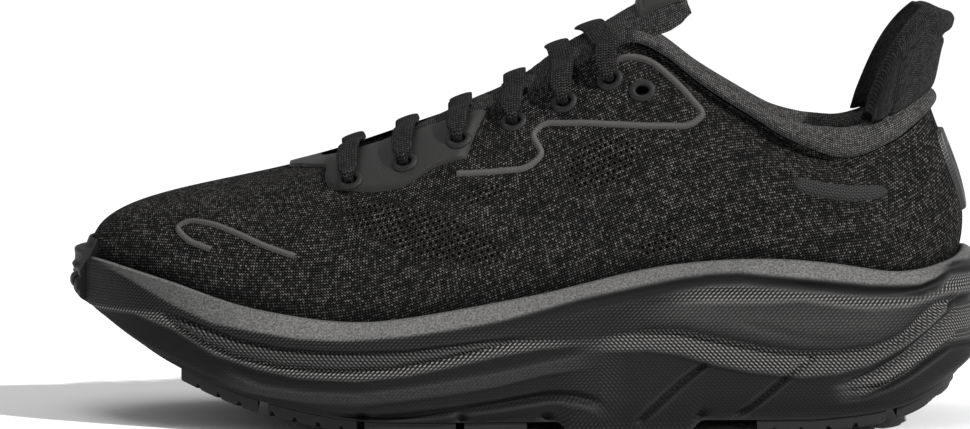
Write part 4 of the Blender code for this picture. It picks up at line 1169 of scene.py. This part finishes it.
def build_toe_rubber(mat):
    """The rubber under the toe and up its front, with low lugs across it."""
    t = even_positions(150, -TOE_WRAP, TOE_WRAP)
    low, high = underside(t), rim(t)
    inner, outer = [], []
    for inset in TOE_WRAP_INSETS:
        plan = outline(t, inset * np.ones_like(t))[0]
        u = np.interp(plan[:, 0], bottom_point(np.linspace(0, 0.5, 60), 0.5)[:, 0], np.linspace(0, 0.5, 60))
        base = raised(plan, underside(u) - 2 * GAP)
        inner.append(base)
        outer.append(base - UP * 0.8 * RUBBER)
    for share, inset in WALL[1:]:
        height = low + share * (high - low)
        side = wall_inset(t, share, inset)
        inner.append(ring(t, side - GAP, height))
        outer.append(ring(t, side - GAP - BUMPER, height))
    inner.append(ring(t, wall_inset(t, *WALL[-1]) - GAP, high + 1.5 * GAP))
    outer.append(ring(t, wall_inset(t, *WALL[-1]) - GAP - BUMPER, high + 2.5 * MM))
    for v, share in zip(TOE_CAP, (0.75, 0.35)):
        inner.append(on_upper(t, v, 1.6 * GAP))
        outer.append(on_upper(t, v, 1.6 * GAP + BUMPER * share))
    inner, outer = np.array(inner), np.array(outer)
    run = lengths(outer[:, len(t) // 2])
    at = np.linspace(0, run[-1], 110)
    outer = hermite(at, run, outer.reshape(len(run), -1)).reshape(len(at), len(t), 3)
    inner = hermite(at, run, inner.reshape(len(run), -1)).reshape(len(at), len(t), 3)
    normal = unit(np.cross(np.gradient(outer, axis=1), np.gradient(outer, axis=0)))
    away = outer - outer.mean(axis=(0, 1))
    normal *= np.sign((normal * away).sum(axis=-1, keepdims=True))
    across = side_run(t) * np.sign(t)
    row = at[:, None] / (7.0 * MM)
    lug = smooth_step(np.abs(np.mod(row, 1) - 0.5), 0.08, 0.16)
    column_cut = np.abs(np.mod((across[None, :] + 5 * MM) / (10 * MM), 1) - 0.5)
    lug = lug * smooth_step(column_cut, 0.05, 0.11)
    reach = smooth_step(at, 0, 4 * MM) * (1 - smooth_step(at, run[-1] - 16 * MM, run[-1] - 9 * MM))
    outer = outer - normal * (0.8 * MM * (1 - lug) * reach[:, None])[..., None]
    shape = Shape().tube(np.concatenate([outer, inner[::-1]]))
    return place(shape.build("tread_toe", mat, 60), "outsole_rubber", "outsole_toe")


# Upper


def groups_of_vents(x, z):
    """How far each point lies inside a group of vent holes, 0 outside and up to 1."""
    found = np.zeros(np.shape(x))
    for (mx, mz), (a, b), lean in VENTS:
        dx, dz = x / MM - mx, z / MM - mz
        along = dx * math.cos(lean) + dz * math.sin(lean)
        aside = -dx * math.sin(lean) + dz * math.cos(lean)
        found = np.maximum(found, np.clip(1.3 - np.hypot(along / a, aside / b), 0, 1))
    return found


def padded_panel(x, z):
    """Height above the padded panel's seam, how far along the panel a point is, and how full it is there."""
    above = gap_above(SEAM, x, z)
    return above, smooth_step(x, 24 * MM, 34 * MM), within(above, 0.5 * MM, 16 * MM, 5 * MM)


def clear_of_holes(points, margin, count=len(EYELETS), sight=8 * MM):
    """Which points lie outside the holes of the first eyelets; those out of an eyelet's sight are kept."""
    keep = np.ones(points.shape[:2], bool)
    for side in (-1, 1):
        for number in range(count):
            centre, _, along, across = eyelet_frame(number, side)
            d = points - centre
            long, wide = (half + margin for half in EYELET_HOLE)
            inside = np.hypot(d @ along / long, d @ across / wide) < 1
            keep &= ~(inside & (np.linalg.norm(d, axis=-1) < sight))
    return keep


def build_upper(mat):
    t = even_positions(UPPER_COLUMNS)
    v = np.concatenate([[-0.30, -0.12], np.linspace(0, 1, SKIN_ROWS) ** 0.95])
    tt, vv = np.broadcast_arrays(t[None, :], v[:, None])
    skin = upper(tt, vv)
    normal = upper_normal(tt, vv)
    x, z = skin[..., 0], skin[..., 2]
    above, region, full = padded_panel(x, z)
    puff = -1.5 * MM * hump(above, 1.2 * MM) + PUFF * full
    puff = puff * region * smooth_step(1 - vv, 0.0, 0.06)
    skin = skin + normal * puff[..., None]
    run = np.cumsum(np.linalg.norm(np.diff(skin, axis=0), axis=2), axis=0)
    rise = np.concatenate([np.zeros_like(tt[:1]), run])
    uv = np.stack([side_run(tt), rise], -1) / MM
    uv = np.concatenate([uv, uv[:, :1]], 1)
    plain = 0.6 * (1 - smooth_step(vv, 0.02, 0.10)) - 0.4 * region * ledge(above, 0.6 * MM)
    vents = groups_of_vents(x, z)
    keep = clear_of_holes(skin, 0.7 * MM)
    shape = Shape()
    shape.grid(skin, uv, round_cols=True, keep=keep, plain=plain, vents=vents)
    back = v[::4]
    bt, bv = np.broadcast_arrays(t[None, :], np.append(back[back < 0.995], 1.0)[:, None])
    inner = on_upper(bt, bv, -KNIT)
    inner[..., 2] = np.minimum(inner[..., 2], upper(bt, bv)[..., 2])
    keep = clear_of_holes(inner, 0.9 * MM)
    shape.grid(inner[::-1], round_cols=True, keep=keep[::-1], plain=np.ones(inner.shape[:2]))
    lip = np.stack([skin[-1], 0.5 * (skin[-1] + inner[-1]) + UP * 0.5 * MM, inner[-1]])
    shape.grid(lip, round_cols=True, plain=np.ones(lip.shape[:2]))
    return place(shape.build("upper_knit", mat, outward=False), "knit", "knit_upper")


def lifted(t, v, off):
    return on_upper(t, v, off) + upper_normal(t, v) * (PUFF * film_puff(t, v))[..., None]


def film_puff(t, v):
    point = upper(t, v)
    _, region, full = padded_panel(point[..., 0], point[..., 2])
    return full * region


def beside(path, offsets, side):
    """Surface coordinates of points beside a path on the upper, at the given distances to its left."""
    spots = np.array([find_on_side(px, pz, side) for px, pz in smooth_path(path, 3)])
    t, v = smooth_path(np.column_stack([spots, 0.02 * np.arange(len(spots))]), 5)[:, :2].T
    middle, normal = upper(t, v), upper_normal(t, v)
    sideways = unit(np.cross(normal, np.gradient(middle, axis=0)))
    along_t = (upper(t + 1e-4, v) - middle) / 1e-4
    along_v = (upper(t, v + 1e-4) - middle) / 1e-4
    tt, vv = [], []
    for p, q, s, a, b in zip(along_t, along_v, sideways, t, v):
        step = np.linalg.lstsq(np.stack([p, q], 1), s, rcond=None)[0]
        tt.append(a + step[0] * offsets)
        vv.append(b + step[1] * offsets)
    return np.array(tt), np.array(vv)


def build_strip(name, path, width, mat, side, heights, lift=0.0, slot="welded_film", taper=False):
    """A raised strip along points of the upper's side, rounded across by its heights in millimetres."""
    points = [(px * X_SCALE, pz + RIM_HEEL) for px, pz in path]
    across = np.linspace(-0.5, 0.5, len(heights))
    t, v = beside(points, width * across, side)
    share = np.ones(len(t))
    if taper:
        ends = np.linspace(0, 1, len(t))
        share = np.sqrt(np.clip(1 - np.abs(2 * ends - 1) ** 6, 0.02, 1))
        middle_t, middle_v = t.mean(1, keepdims=True), v.mean(1, keepdims=True)
        t, v = middle_t + (t - middle_t) * share[:, None], middle_v + (v - middle_v) * share[:, None]
    high = (np.array(heights)[None, :] * MM * share[:, None]) + lift
    top = lifted(t, v, high)
    base = lifted(t, v, np.full_like(t, lift - 0.15 * MM))
    return place(Shape().sheet(top, base).build(name, mat, 60), slot, name.replace("trim_", ""))


def build_vamp_film(mat):
    t = even_positions(300, -0.44, 0.44)
    table = np.array(FILM_DEPTH)
    low = np.interp(np.abs(t), table[:, 0], table[:, 1])
    low = smoothed(low, 4)
    share = np.linspace(0, 1, 40)
    tt = np.repeat(t[None, :], len(share), 0)
    vv = low[None, :] + (0.965 - low[None, :]) * share[:, None]
    edge = np.minimum(smooth_step(share, 0, 0.05)[:, None], smooth_step(0.44 - np.abs(t), 0, 0.01)[None, :])
    points = on_upper(tt, vv, 0.15 * MM + 1.1 * MM * edge)
    keep = clear_of_holes(points, 0.7 * MM, FILMED, math.inf)
    shape = Shape().sheet(points, on_upper(tt, vv, np.full_like(tt, 0.1 * MM)), keep)
    return place(shape.build("trim_vamp_film", mat, outward=False), "welded_film", "vamp_film")


def build_heel_panel(mat):
    """The rounded film panel at the back of the heel, with two sunk slots."""
    a = np.linspace(-1, 1, 61)
    b = np.linspace(0, 1, 91)
    aa, bb = np.meshgrid(a, b)
    half = 0.045 * (0.55 + 0.45 * np.sin(np.pi * np.clip(bb * 0.94 + 0.03, 0, 1)) ** 0.5)
    tt = 1 + aa * half
    vv = 0.26 + (0.85 - 0.26) * bb
    ends = np.minimum(smooth_step(bb, 0, 0.03), smooth_step(1 - bb, 0, 0.03))
    edge = np.minimum(smooth_step(1 - np.abs(aa), 0, 0.10), ends)
    rib = 0.0
    for centre in (-0.38, 0.38):
        rib = np.maximum(rib, hump(aa - centre, 0.16) * within(bb, 0.16, 0.84, 0.10))
    points = on_upper(tt, vv, 0.1 * MM + 1.5 * MM * edge - 0.9 * MM * rib * edge)
    shape = Shape().sheet(points, on_upper(tt, vv, np.zeros_like(tt)))
    return place(shape.build("trim_heel_panel", mat, outward=False), "reflective_panel", "heel_panel")


def build_eyelet(number, side, word, mat):
    """A rounded ring with a short barrel down through the knit."""
    centre, normal, along, across = eyelet_frame(number, side)
    lift = (1.3 * MM if number < FILMED else 0.0) + 0.1 * MM
    puff = PUFF * float(film_puff(*(np.array(k) for k in eyelet_spot(number, side))))
    ring_profile = (  # outward from the hole's edge, height
        (-0.3, -2.6), (-0.35, -0.4), (-0.3, 0.2), (0.0, 0.55), (0.5, 0.7), (1.1, 0.62),
        (1.6, 0.4), (1.95, 0.05), (1.9, -0.2), (0.6, -0.6), (0.3, -2.6),
    )
    loops = []
    for grow, high in ring_profile:
        half = tuple(h + grow * MM for h in EYELET_HOLE)
        loops.append(oval(centre + normal * (lift + puff + high * MM), along, across, half, 40))
    shape = Shape()
    shape.grid(np.array(loops), round_rows=True, round_cols=True)
    name = f"{word}_{number + 1}"
    return place(shape.build(f"eyelet_ring_{name}", mat), "welded_film", f"eyelet_{name}")


# Padding


def build_sockliner(mat):
    """The removable foam footbed, its cloth top dished under the heel and quilted along fine lines."""
    t = even_positions(360)
    inset = cup_inset(t) + KNIT + COUNTER + 5 * GAP + 0.5 * MM
    low = foot_bed(t) + 2 * GAP + BOARD
    edge = ((0.9, 0.0), (0.25, 0.12), (0.0, 0.4), (0.1, 0.72), (0.5, 0.93), (1.2, 1.0))
    rows = [ring(t, inset + grow * MM, low + share * LINER) for grow, share in edge]
    spread = np.linspace(0, 1, 34)[1:]
    middle = rows[-1].copy()
    middle[:, 1] = middle[:, 1].mean() + 0.04 * (middle[:, 1] - middle[:, 1].mean())
    for share in spread:
        row = rows[5] + (middle - rows[5]) * share
        quilt = 0.3 * MM * hump(np.mod(row[:, 0] / (9 * MM), 1) - 0.5, 0.10) * smooth_step(share, 0.04, 0.12)
        row[:, 2] -= 1.2 * MM * smooth_step(share, 0, 0.7) + quilt
        rows.append(row)
    base = [rows[0] + (middle - rows[0]) * share for share in (0.9, 0.5, 0.2)]
    for row in base:
        row[:, 2] = low
    obj = Shape().stack(base + rows).build("pad_sockliner", mat)
    place(obj, "sockliner_foam", "sockliner")
    return obj


def swell(obj, cap):
    """Swells a padded piece by simulated cloth; each point moves no further than the cap."""
    rest = np.zeros(len(obj.data.vertices) * 3, np.float32)
    obj.data.vertices.foreach_get("co", rest)
    rest = rest.reshape(-1, 3).astype(float)
    copy = add_object("swelling", obj.data.copy())
    remesh = copy.modifiers.new("Remesh", "REMESH")
    remesh.mode = "VOXEL"
    remesh.voxel_size = SWELL_VOXEL
    bpy.context.view_layer.objects.active = copy
    bpy.context.view_layer.update()
    graph = bpy.context.evaluated_depsgraph_get()
    coarse = bpy.data.meshes.new_from_object(copy.evaluated_get(graph))
    copy.modifiers.clear()
    copy.data = coarse
    before = np.array([p.co[:] for p in coarse.vertices])
    cloth = copy.modifiers.new("Cloth", "CLOTH")
    cloth.settings.quality = 6
    cloth.settings.use_pressure = True
    cloth.settings.uniform_pressure_force = SWELL_PRESSURE
    cloth.settings.tension_stiffness = 12
    cloth.settings.bending_stiffness = 0.6
    cloth.settings.effector_weights.gravity = 0.0
    cloth.point_cache.frame_start = 1
    cloth.point_cache.frame_end = SWELL_FRAMES
    for number in range(1, SWELL_FRAMES + 1):
        bpy.context.scene.frame_set(number)
    graph = bpy.context.evaluated_depsgraph_get()
    settled = copy.evaluated_get(graph).to_mesh()
    after = np.array([p.co[:] for p in settled.vertices])
    copy.evaluated_get(graph).to_mesh_clear()
    bpy.context.scene.frame_set(1)
    bpy.data.objects.remove(copy, do_unlink=True)
    shift = after - before
    size = np.linalg.norm(shift, axis=1, keepdims=True)
    shift *= np.minimum(1, cap / np.maximum(size, 1e-9))
    tree = KDTree(len(before))
    for i, p in enumerate(before):
        tree.insert(p, i)
    tree.balance()
    moved = rest.copy()
    for i, p in enumerate(rest):
        found = tree.find_n(p, 6)
        weights = np.array([1 / (1e-4 + d) for _, _, d in found])
        weights /= weights.sum()
        moved[i] += sum(w * shift[k] for w, (_, k, _) in zip(weights, found))
    obj.data.vertices.foreach_set("co", moved.astype(np.float32).reshape(-1))
    obj.data.update()


def collar_sections(count):
    """Cross-sections of the collar's roll and its lining, as the CAD collar has them, finer."""
    t = even_positions(count, 0.607, 1.393, 8 * MM)
    top = topline(t)
    inward = inward_from_edge(t)
    share = np.clip(1 - abs(t - 1) / 0.395, 0, 1)
    height = COLLAR_HEIGHT * column(t, COLLAR_SHARE)
    drop = LINING * np.clip(0.12 + share * 1.5, 0, 1)
    thick = COLLAR_THICK * (0.45 + 0.55 * np.minimum(1, share * 2.2))
    profile = np.array([
        (-0.02, 0.0, 0.0),
        (-0.20, 0.30, 0.0),
        (-0.16, 0.66, 0.0),
        (0.12, 0.95, 0.0),
        (0.45, 1.0, 0.0),
        (0.82, 0.72, 0.0),
        (1.00, 0.25, 0.0),
        (0.97, 0.0, 0.35),
        (0.70, 0.0, 0.80),
    ])
    clear = KNIT + 4.5 * GAP
    base = top + UP * 1.8 * GAP
    rows = []
    for a, b, c in profile:
        rows.append(base + inward * (thick * a)[:, None] + UP * (height * b - drop * c)[:, None])
    rows.append(top + inward * (clear + 2.4 * MM) - UP * drop[:, None])
    rows.append(top + inward * (clear + 1.8 * MM) - UP * (drop * 0.9)[:, None])
    rows.append(top + inward * clear + UP * 1.8 * GAP)
    return np.array(rows)


def refine_loop(rows, count):
    """More points round closed cross-sections, kept smooth: rows are the points round, then the stations."""
    closed = np.concatenate([rows[-2:], rows, rows[:3]])
    at = np.arange(len(closed), dtype=float) - 2
    fine = np.arange(count) / count * len(rows)
    return hermite(fine, at, closed.reshape(len(closed), -1)).reshape(count, *rows.shape[1:])


def build_collar(mat):
    obj = Shape().tube(refine_loop(collar_sections(260), 84)).build("pad_collar", mat)
    swell(obj, 1.2 * MM)
    place(obj, "collar_fabric", "collar")
    return obj


def build_heel_tab(mat):
    t = np.linspace(1 - TAB_REACH, 1 + TAB_REACH, 121)
    top = topline(t)
    inward = inward_from_edge(t)
    side = abs(t - 1) / TAB_REACH
    height = tab_height(side)
    lift = UP * (COLLAR_HEIGHT * column(t, COLLAR_SHARE) + 3.6 * GAP)[:, None]
    p = top + lift - inward * (0.10 * TAB_THICK)
    h = height[:, None]
    flare = np.array((1.0, 0.0, 0.0)) * ((0.30 - 0.08 * side * side) * height)[:, None]
    w, n = TAB_THICK, inward
    tip = p + UP * h + flare + n * w * 0.15
    middle = p + UP * h * 0.5 + flare * 0.35
    rim_drop = UP * np.minimum(1.4 * MM, height * 0.3)[:, None]
    rows = np.array([
        p, p + n * w * 0.5, p + n * w, middle + n * w, tip + n * w * 0.85 - rim_drop,
        tip + n * w * 0.42, tip - rim_drop, middle - n * 0.4 * MM,
    ])
    loop = refine_loop(rows, 96)
    out = -inward[None, :, :]
    crown = loop[..., 2].max(axis=0)[None, :]
    reach = lengths(top)
    front = np.minimum(reach, reach[-1] - reach)[None, :]
    from_edge = np.minimum(crown - loop[..., 2], front)
    outside = ((loop - (p + n * w * 0.45)[None]) * out).sum(axis=-1) > 0
    crease = hump(from_edge - 8 * MM, 1.2 * MM) * outside
    roll = within(from_edge, 0, 8 * MM, 3 * MM) * outside
    depth = (1.0 * roll - 1.3 * crease) * MM * smooth_step(height, 3 * MM, 12 * MM)[None, :]
    loop = loop + out * depth[..., None]
    obj = Shape().tube(loop).build("pad_heel_tab", mat)
    swell(obj, 0.8 * MM)
    place(obj, "collar_fabric", "heel_tab", body=None)
    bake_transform(obj)
    return obj


def build_tongue(mat):
    x = np.linspace(TONGUE_ROOT, TONGUE_TIP, 170)
    half = smoothed(tongue_half_width(x), 5)
    thick = TONGUE_THICK * np.interp(x, [TONGUE_ROOT, -30 * MM, 20 * MM, TONGUE_TIP], [0.35, 0.45, 0.95, 1.0])
    s = np.linspace(-1, 1, 70)
    grid_x = np.repeat(x[:, None], len(s), 1)
    grid_y = half[:, None] * s
    top = tongue_point(grid_x, grid_y)
    taper = 1 - 0.55 * np.abs(s) ** 3
    bottom = top - UP * (thick[:, None] * taper)[..., None]
    seam = hump(np.abs(grid_y) - (half[:, None] - 3.2 * MM), 0.8 * MM)
    seam = seam + hump(grid_x - (TONGUE_TIP - 3.2 * MM), 0.8 * MM)
    top = top - UP * (0.7 * MM * np.clip(seam, 0, 1))[..., None]
    middle = 0.5 * (top + bottom)
    tip = smooth_step(TONGUE_TIP - x, 0, 3 * MM)[:, None]
    edge = np.minimum(smooth_step(1 - np.abs(s), 0, 0.07)[None, :], tip)
    top = middle + (top - middle) * np.sqrt(edge)[..., None]
    bottom = middle + (bottom - middle) * np.sqrt(edge)[..., None]
    obj = Shape().sheet(top, bottom).build("pad_tongue", mat, outward=False)
    swell(obj, 0.6 * MM)
    place(obj, "collar_fabric", "tongue", body=None)
    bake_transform(obj)
    return obj


def build_label(mat):
    """The plain film label near the tongue's top."""
    x, s = np.meshgrid(np.linspace(36.5 * MM, 49.5 * MM, 50) * X_SCALE, np.linspace(-1, 1, 90), indexing="ij")
    low = tongue_point(x, s * 14 * MM * Y_SCALE) + UP * 0.3 * MM
    along = np.linspace(0, 1, 50)[:, None] * np.ones((1, 90))
    edge = np.minimum(within(along, 0, 1, 0.06), within(s, -1.0, 1.0, 0.08))
    frame_line = hump(np.minimum(np.minimum(along, 1 - along) - 0.13, (1 - np.abs(s)) - 0.13), 0.03)
    high = low + UP * ((0.25 + 1.1 * np.sqrt(edge) - 0.3 * frame_line) * MM)[..., None]
    label = Shape().sheet(high, low).build("trim_tongue_label", mat, outward=False)
    return place(label, "welded_film", "tongue_label", body="tongue_body")


# Lacing


def build_lace(mat):
    route = [(p, 0.25) for p in tail(0, -1, 1)[::-1]] + lace_route()
    route += [(p, 0.25) for p in tail(LACED - 1, -1, 1)]
    points = np.array([p for p, _ in route])
    widths = np.array([LACE_IN_HOLE + (LACE_WIDTH - LACE_IN_HOLE) * w for _, w in route])
    per = 12
    path = smooth_path(points, per)
    width = np.interp(np.arange(len(path)) / per, np.arange(len(points)), widths)
    width = smoothed(width, 6)
    along = unit(np.gradient(path, axis=0))
    flats = []
    for a in along:
        flat = np.array((1.0, 0.0, 0.35))
        flat -= a * (flat @ a)
        if np.linalg.norm(flat) < 0.3:
            flat = np.array((0.0, 1.0, 0.0)) - a * a[1]
        flats.append(flat / np.linalg.norm(flat))
    flats = np.array(flats)
    for i in range(1, len(flats)):
        if flats[i] @ flats[i - 1] < 0:
            flats[i] *= -1
    flats = np.stack([smoothed(flats[:, k], 3) for k in range(3)], 1)
    flats = unit(flats - along * (flats * along).sum(axis=1, keepdims=True))
    up = np.cross(along, flats)
    turn = np.linspace(0, 2 * np.pi, 28, endpoint=False)
    across = np.sign(np.cos(turn)) * np.abs(np.cos(turn)) ** 0.55
    height = np.sign(np.sin(turn)) * np.abs(np.sin(turn)) ** 0.75
    crown = 1.0 - 0.25 * np.abs(across) ** 2
    x = flats[None] * (width[None, :, None] / 2) * across[:, None, None]
    y = up[None] * (LACE_THICK * 0.62) * (height * crown)[:, None, None]
    loop = path[None] + x + y
    run = lengths(path)
    vv = np.concatenate([across, across[:1]])[:, None] * width[None, :] / 2
    uv = np.stack([np.broadcast_to(run[None, :], vv.shape), vv], -1) / MM
    return place(Shape().tube(loop, uv).build("lace_flat", mat), "lace_webbing", "lace")


def build_aglet(name, number, mat):
    a, b = eyelet_spot(number, -1)
    drops = np.linspace(0.245, 0.40, 26)
    path = np.array([on_upper(a + 0.012, b - drop, -(KNIT + 2.2 * MM)) for drop in drops])
    along = unit(np.gradient(path, axis=0))
    wide = np.sqrt(np.clip(1 - np.abs(np.linspace(-1, 1, len(path))) ** 14, 0.05, 1))
    wide *= 1 - 0.08 * (np.abs(np.linspace(-1, 1, len(path))) < 0.75)
    loops = []
    for p, d, w in zip(path, along, wide):
        x = np.cross(d, (1.0, 0.0, 0.0))
        x /= np.linalg.norm(x)
        loops.append(oval(p, x, np.cross(d, x), (AGLET / 2 * w, AGLET / 2 * w), 24))
    return place(Shape().stack(loops).build(f"tip_{name}", mat), "counter_plastic", name)


# Stage


def aimed(obj, direction, axis):
    """Turns a light so that the axis points along the direction."""
    obj.rotation_euler = Vector(direction).to_track_quat(axis, "Y").to_euler()


def build_stage():
    low, high = (Vector(c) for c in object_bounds())
    paint = Paint("studio_floor", 0.9, 0.1)
    soft = paint.noise(3.0, 2.0, paint.place())
    grain = paint.bump(paint.noise(400.0), 0.0001, 0.1)
    paint.finish(paint.mix(soft, grey(0.86), grey(0.88)), None, grain)
    mesh = bpy.data.meshes.new("floor")
    corners = ((-1, -1), (1, -1), (1, 1), (-1, 1))
    mesh.from_pydata([(FLOOR_REACH * x, FLOOR_REACH * y, low.z) for x, y in corners], [], [(0, 1, 2, 3)])
    mesh.materials.append(paint.material)
    add_object("floor", mesh)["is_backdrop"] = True
    scene = bpy.context.scene
    scene.world = bpy.data.worlds.new("studio")
    scene.world.use_nodes = True
    background = scene.world.node_tree.nodes["Background"]
    background.inputs[0].default_value = grey(1.0)
    background.inputs[1].default_value = WORLD_LIGHT
    scene.view_settings.view_transform = "Standard"
    sun = bpy.data.lights.new("key", "SUN")
    sun.energy, sun.angle = KEY_LIGHT, math.radians(2)
    aimed(add_object("key", sun), KEY_FROM, "Z")
    panel = bpy.data.lights.new("top", "AREA")
    panel.shape, panel.energy = "RECTANGLE", TOP_LIGHT
    panel.size, panel.size_y = TOP_SIZE
    top = add_object("top", panel)
    top.location = TOP_FROM
    aimed(top, (low + high) / 2 - Vector(TOP_FROM), "-Z")
    camera = bpy.data.cameras.new("camera")
    camera.sensor_width, camera.clip_end = SENSOR, 100
    camera.lens = SENSOR * VIEW_DISTANCE / VIEW_WIDTH
    obj = add_object("camera", camera)
    back = Vector((0, -math.cos(VIEW_TILT), math.sin(VIEW_TILT)))
    obj.location = Vector(VIEW_MIDDLE) + back * VIEW_DISTANCE
    obj.rotation_euler = (math.pi / 2 - VIEW_TILT, 0, 0)
    scene.camera = obj


def carry_over(name, mat):
    """A CAD node that shows as it is, with a finished material."""
    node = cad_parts[name]
    node.data.materials.clear()
    node.data.materials.append(mat)


def main():
    foam, rubber, knit = paint_foam(), paint_rubber(), paint_knit()
    padding, film, webbing = paint_padding(), paint_film(), paint_webbing()
    ring_film, weld_film = paint_film("eyelet_film", 0.022), paint_film("weld_film", 0.16)
    plastic = paint_plain("stiff_plastic", grey(0.010), grey(0.022), 0.5, 900.0, 0.00005)
    thread = paint_webbing("embroidery", 0.035, 0.06)
    build_midsole(foam)
    for number, stretch in enumerate(FOREFOOT_PODS, 1):
        build_pod(f"forefoot_outer_{number}", stretch, (0.0, 0.44), rubber)
        build_pod(f"forefoot_inner_{number}", stretch, (0.56, 1.0), rubber)
    build_pod("heel_outer", HEEL_POD, (0.0, 0.36), rubber)
    build_pod("heel_inner", HEEL_POD, (0.64, 1.0), rubber)
    build_pod("heel_rear", REAR_POD, (0.02, 0.98), rubber)
    build_toe_rubber(rubber)
    build_upper(knit)
    weld = (0.0, 0.35, 0.62, 0.8, 0.85, 0.8, 0.62, 0.35, 0.0)
    bar = (0.0, 0.45, 0.65, 0.7, 0.72, 0.7, 0.65, 0.45, 0.0)
    for side, word in ((-1, "outer"), (1, "inner")):
        build_strip(f"trim_eyestay_weld_{word}", EYESTAY_WELD, 2.2 * MM, weld_film, side, weld)
        build_strip(f"trim_toe_weld_{word}", TOE_WELD, 2.0 * MM, weld_film, side, weld)
        build_strip(f"trim_side_bar_{word}", SIDE_BAR, 5.0 * MM, thread, side, bar, 0.0, "lace_webbing", True)
        for number in range(len(EYELETS)):
            build_eyelet(number, side, word, ring_film)
    build_vamp_film(film)
    build_heel_panel(paint_reflective())
    build_collar(padding)
    build_heel_tab(paint_padding("tab_jersey", 0.0045))
    build_tongue(paint_padding("tongue_jersey", 0.007))
    build_label(film)
    build_lace(webbing)
    build_aglet("aglet_front", 0, plastic)
    build_aglet("aglet_rear", LACED - 1, plastic)
    lining = paint_plain("brushed_lining", grey(0.010), grey(0.022), 0.9, 1500.0, 0.0002)
    board = paint_plain("pressed_board", grey(0.16, 0.05), grey(0.24, 0.05), 0.85, 700.0, 0.0001)
    build_sockliner(lining)
    carry_over("strobel_board", board)
    carry_over("heel_counter", plastic)
    carry_over("toe_puff", plastic)
    build_stage()


main()
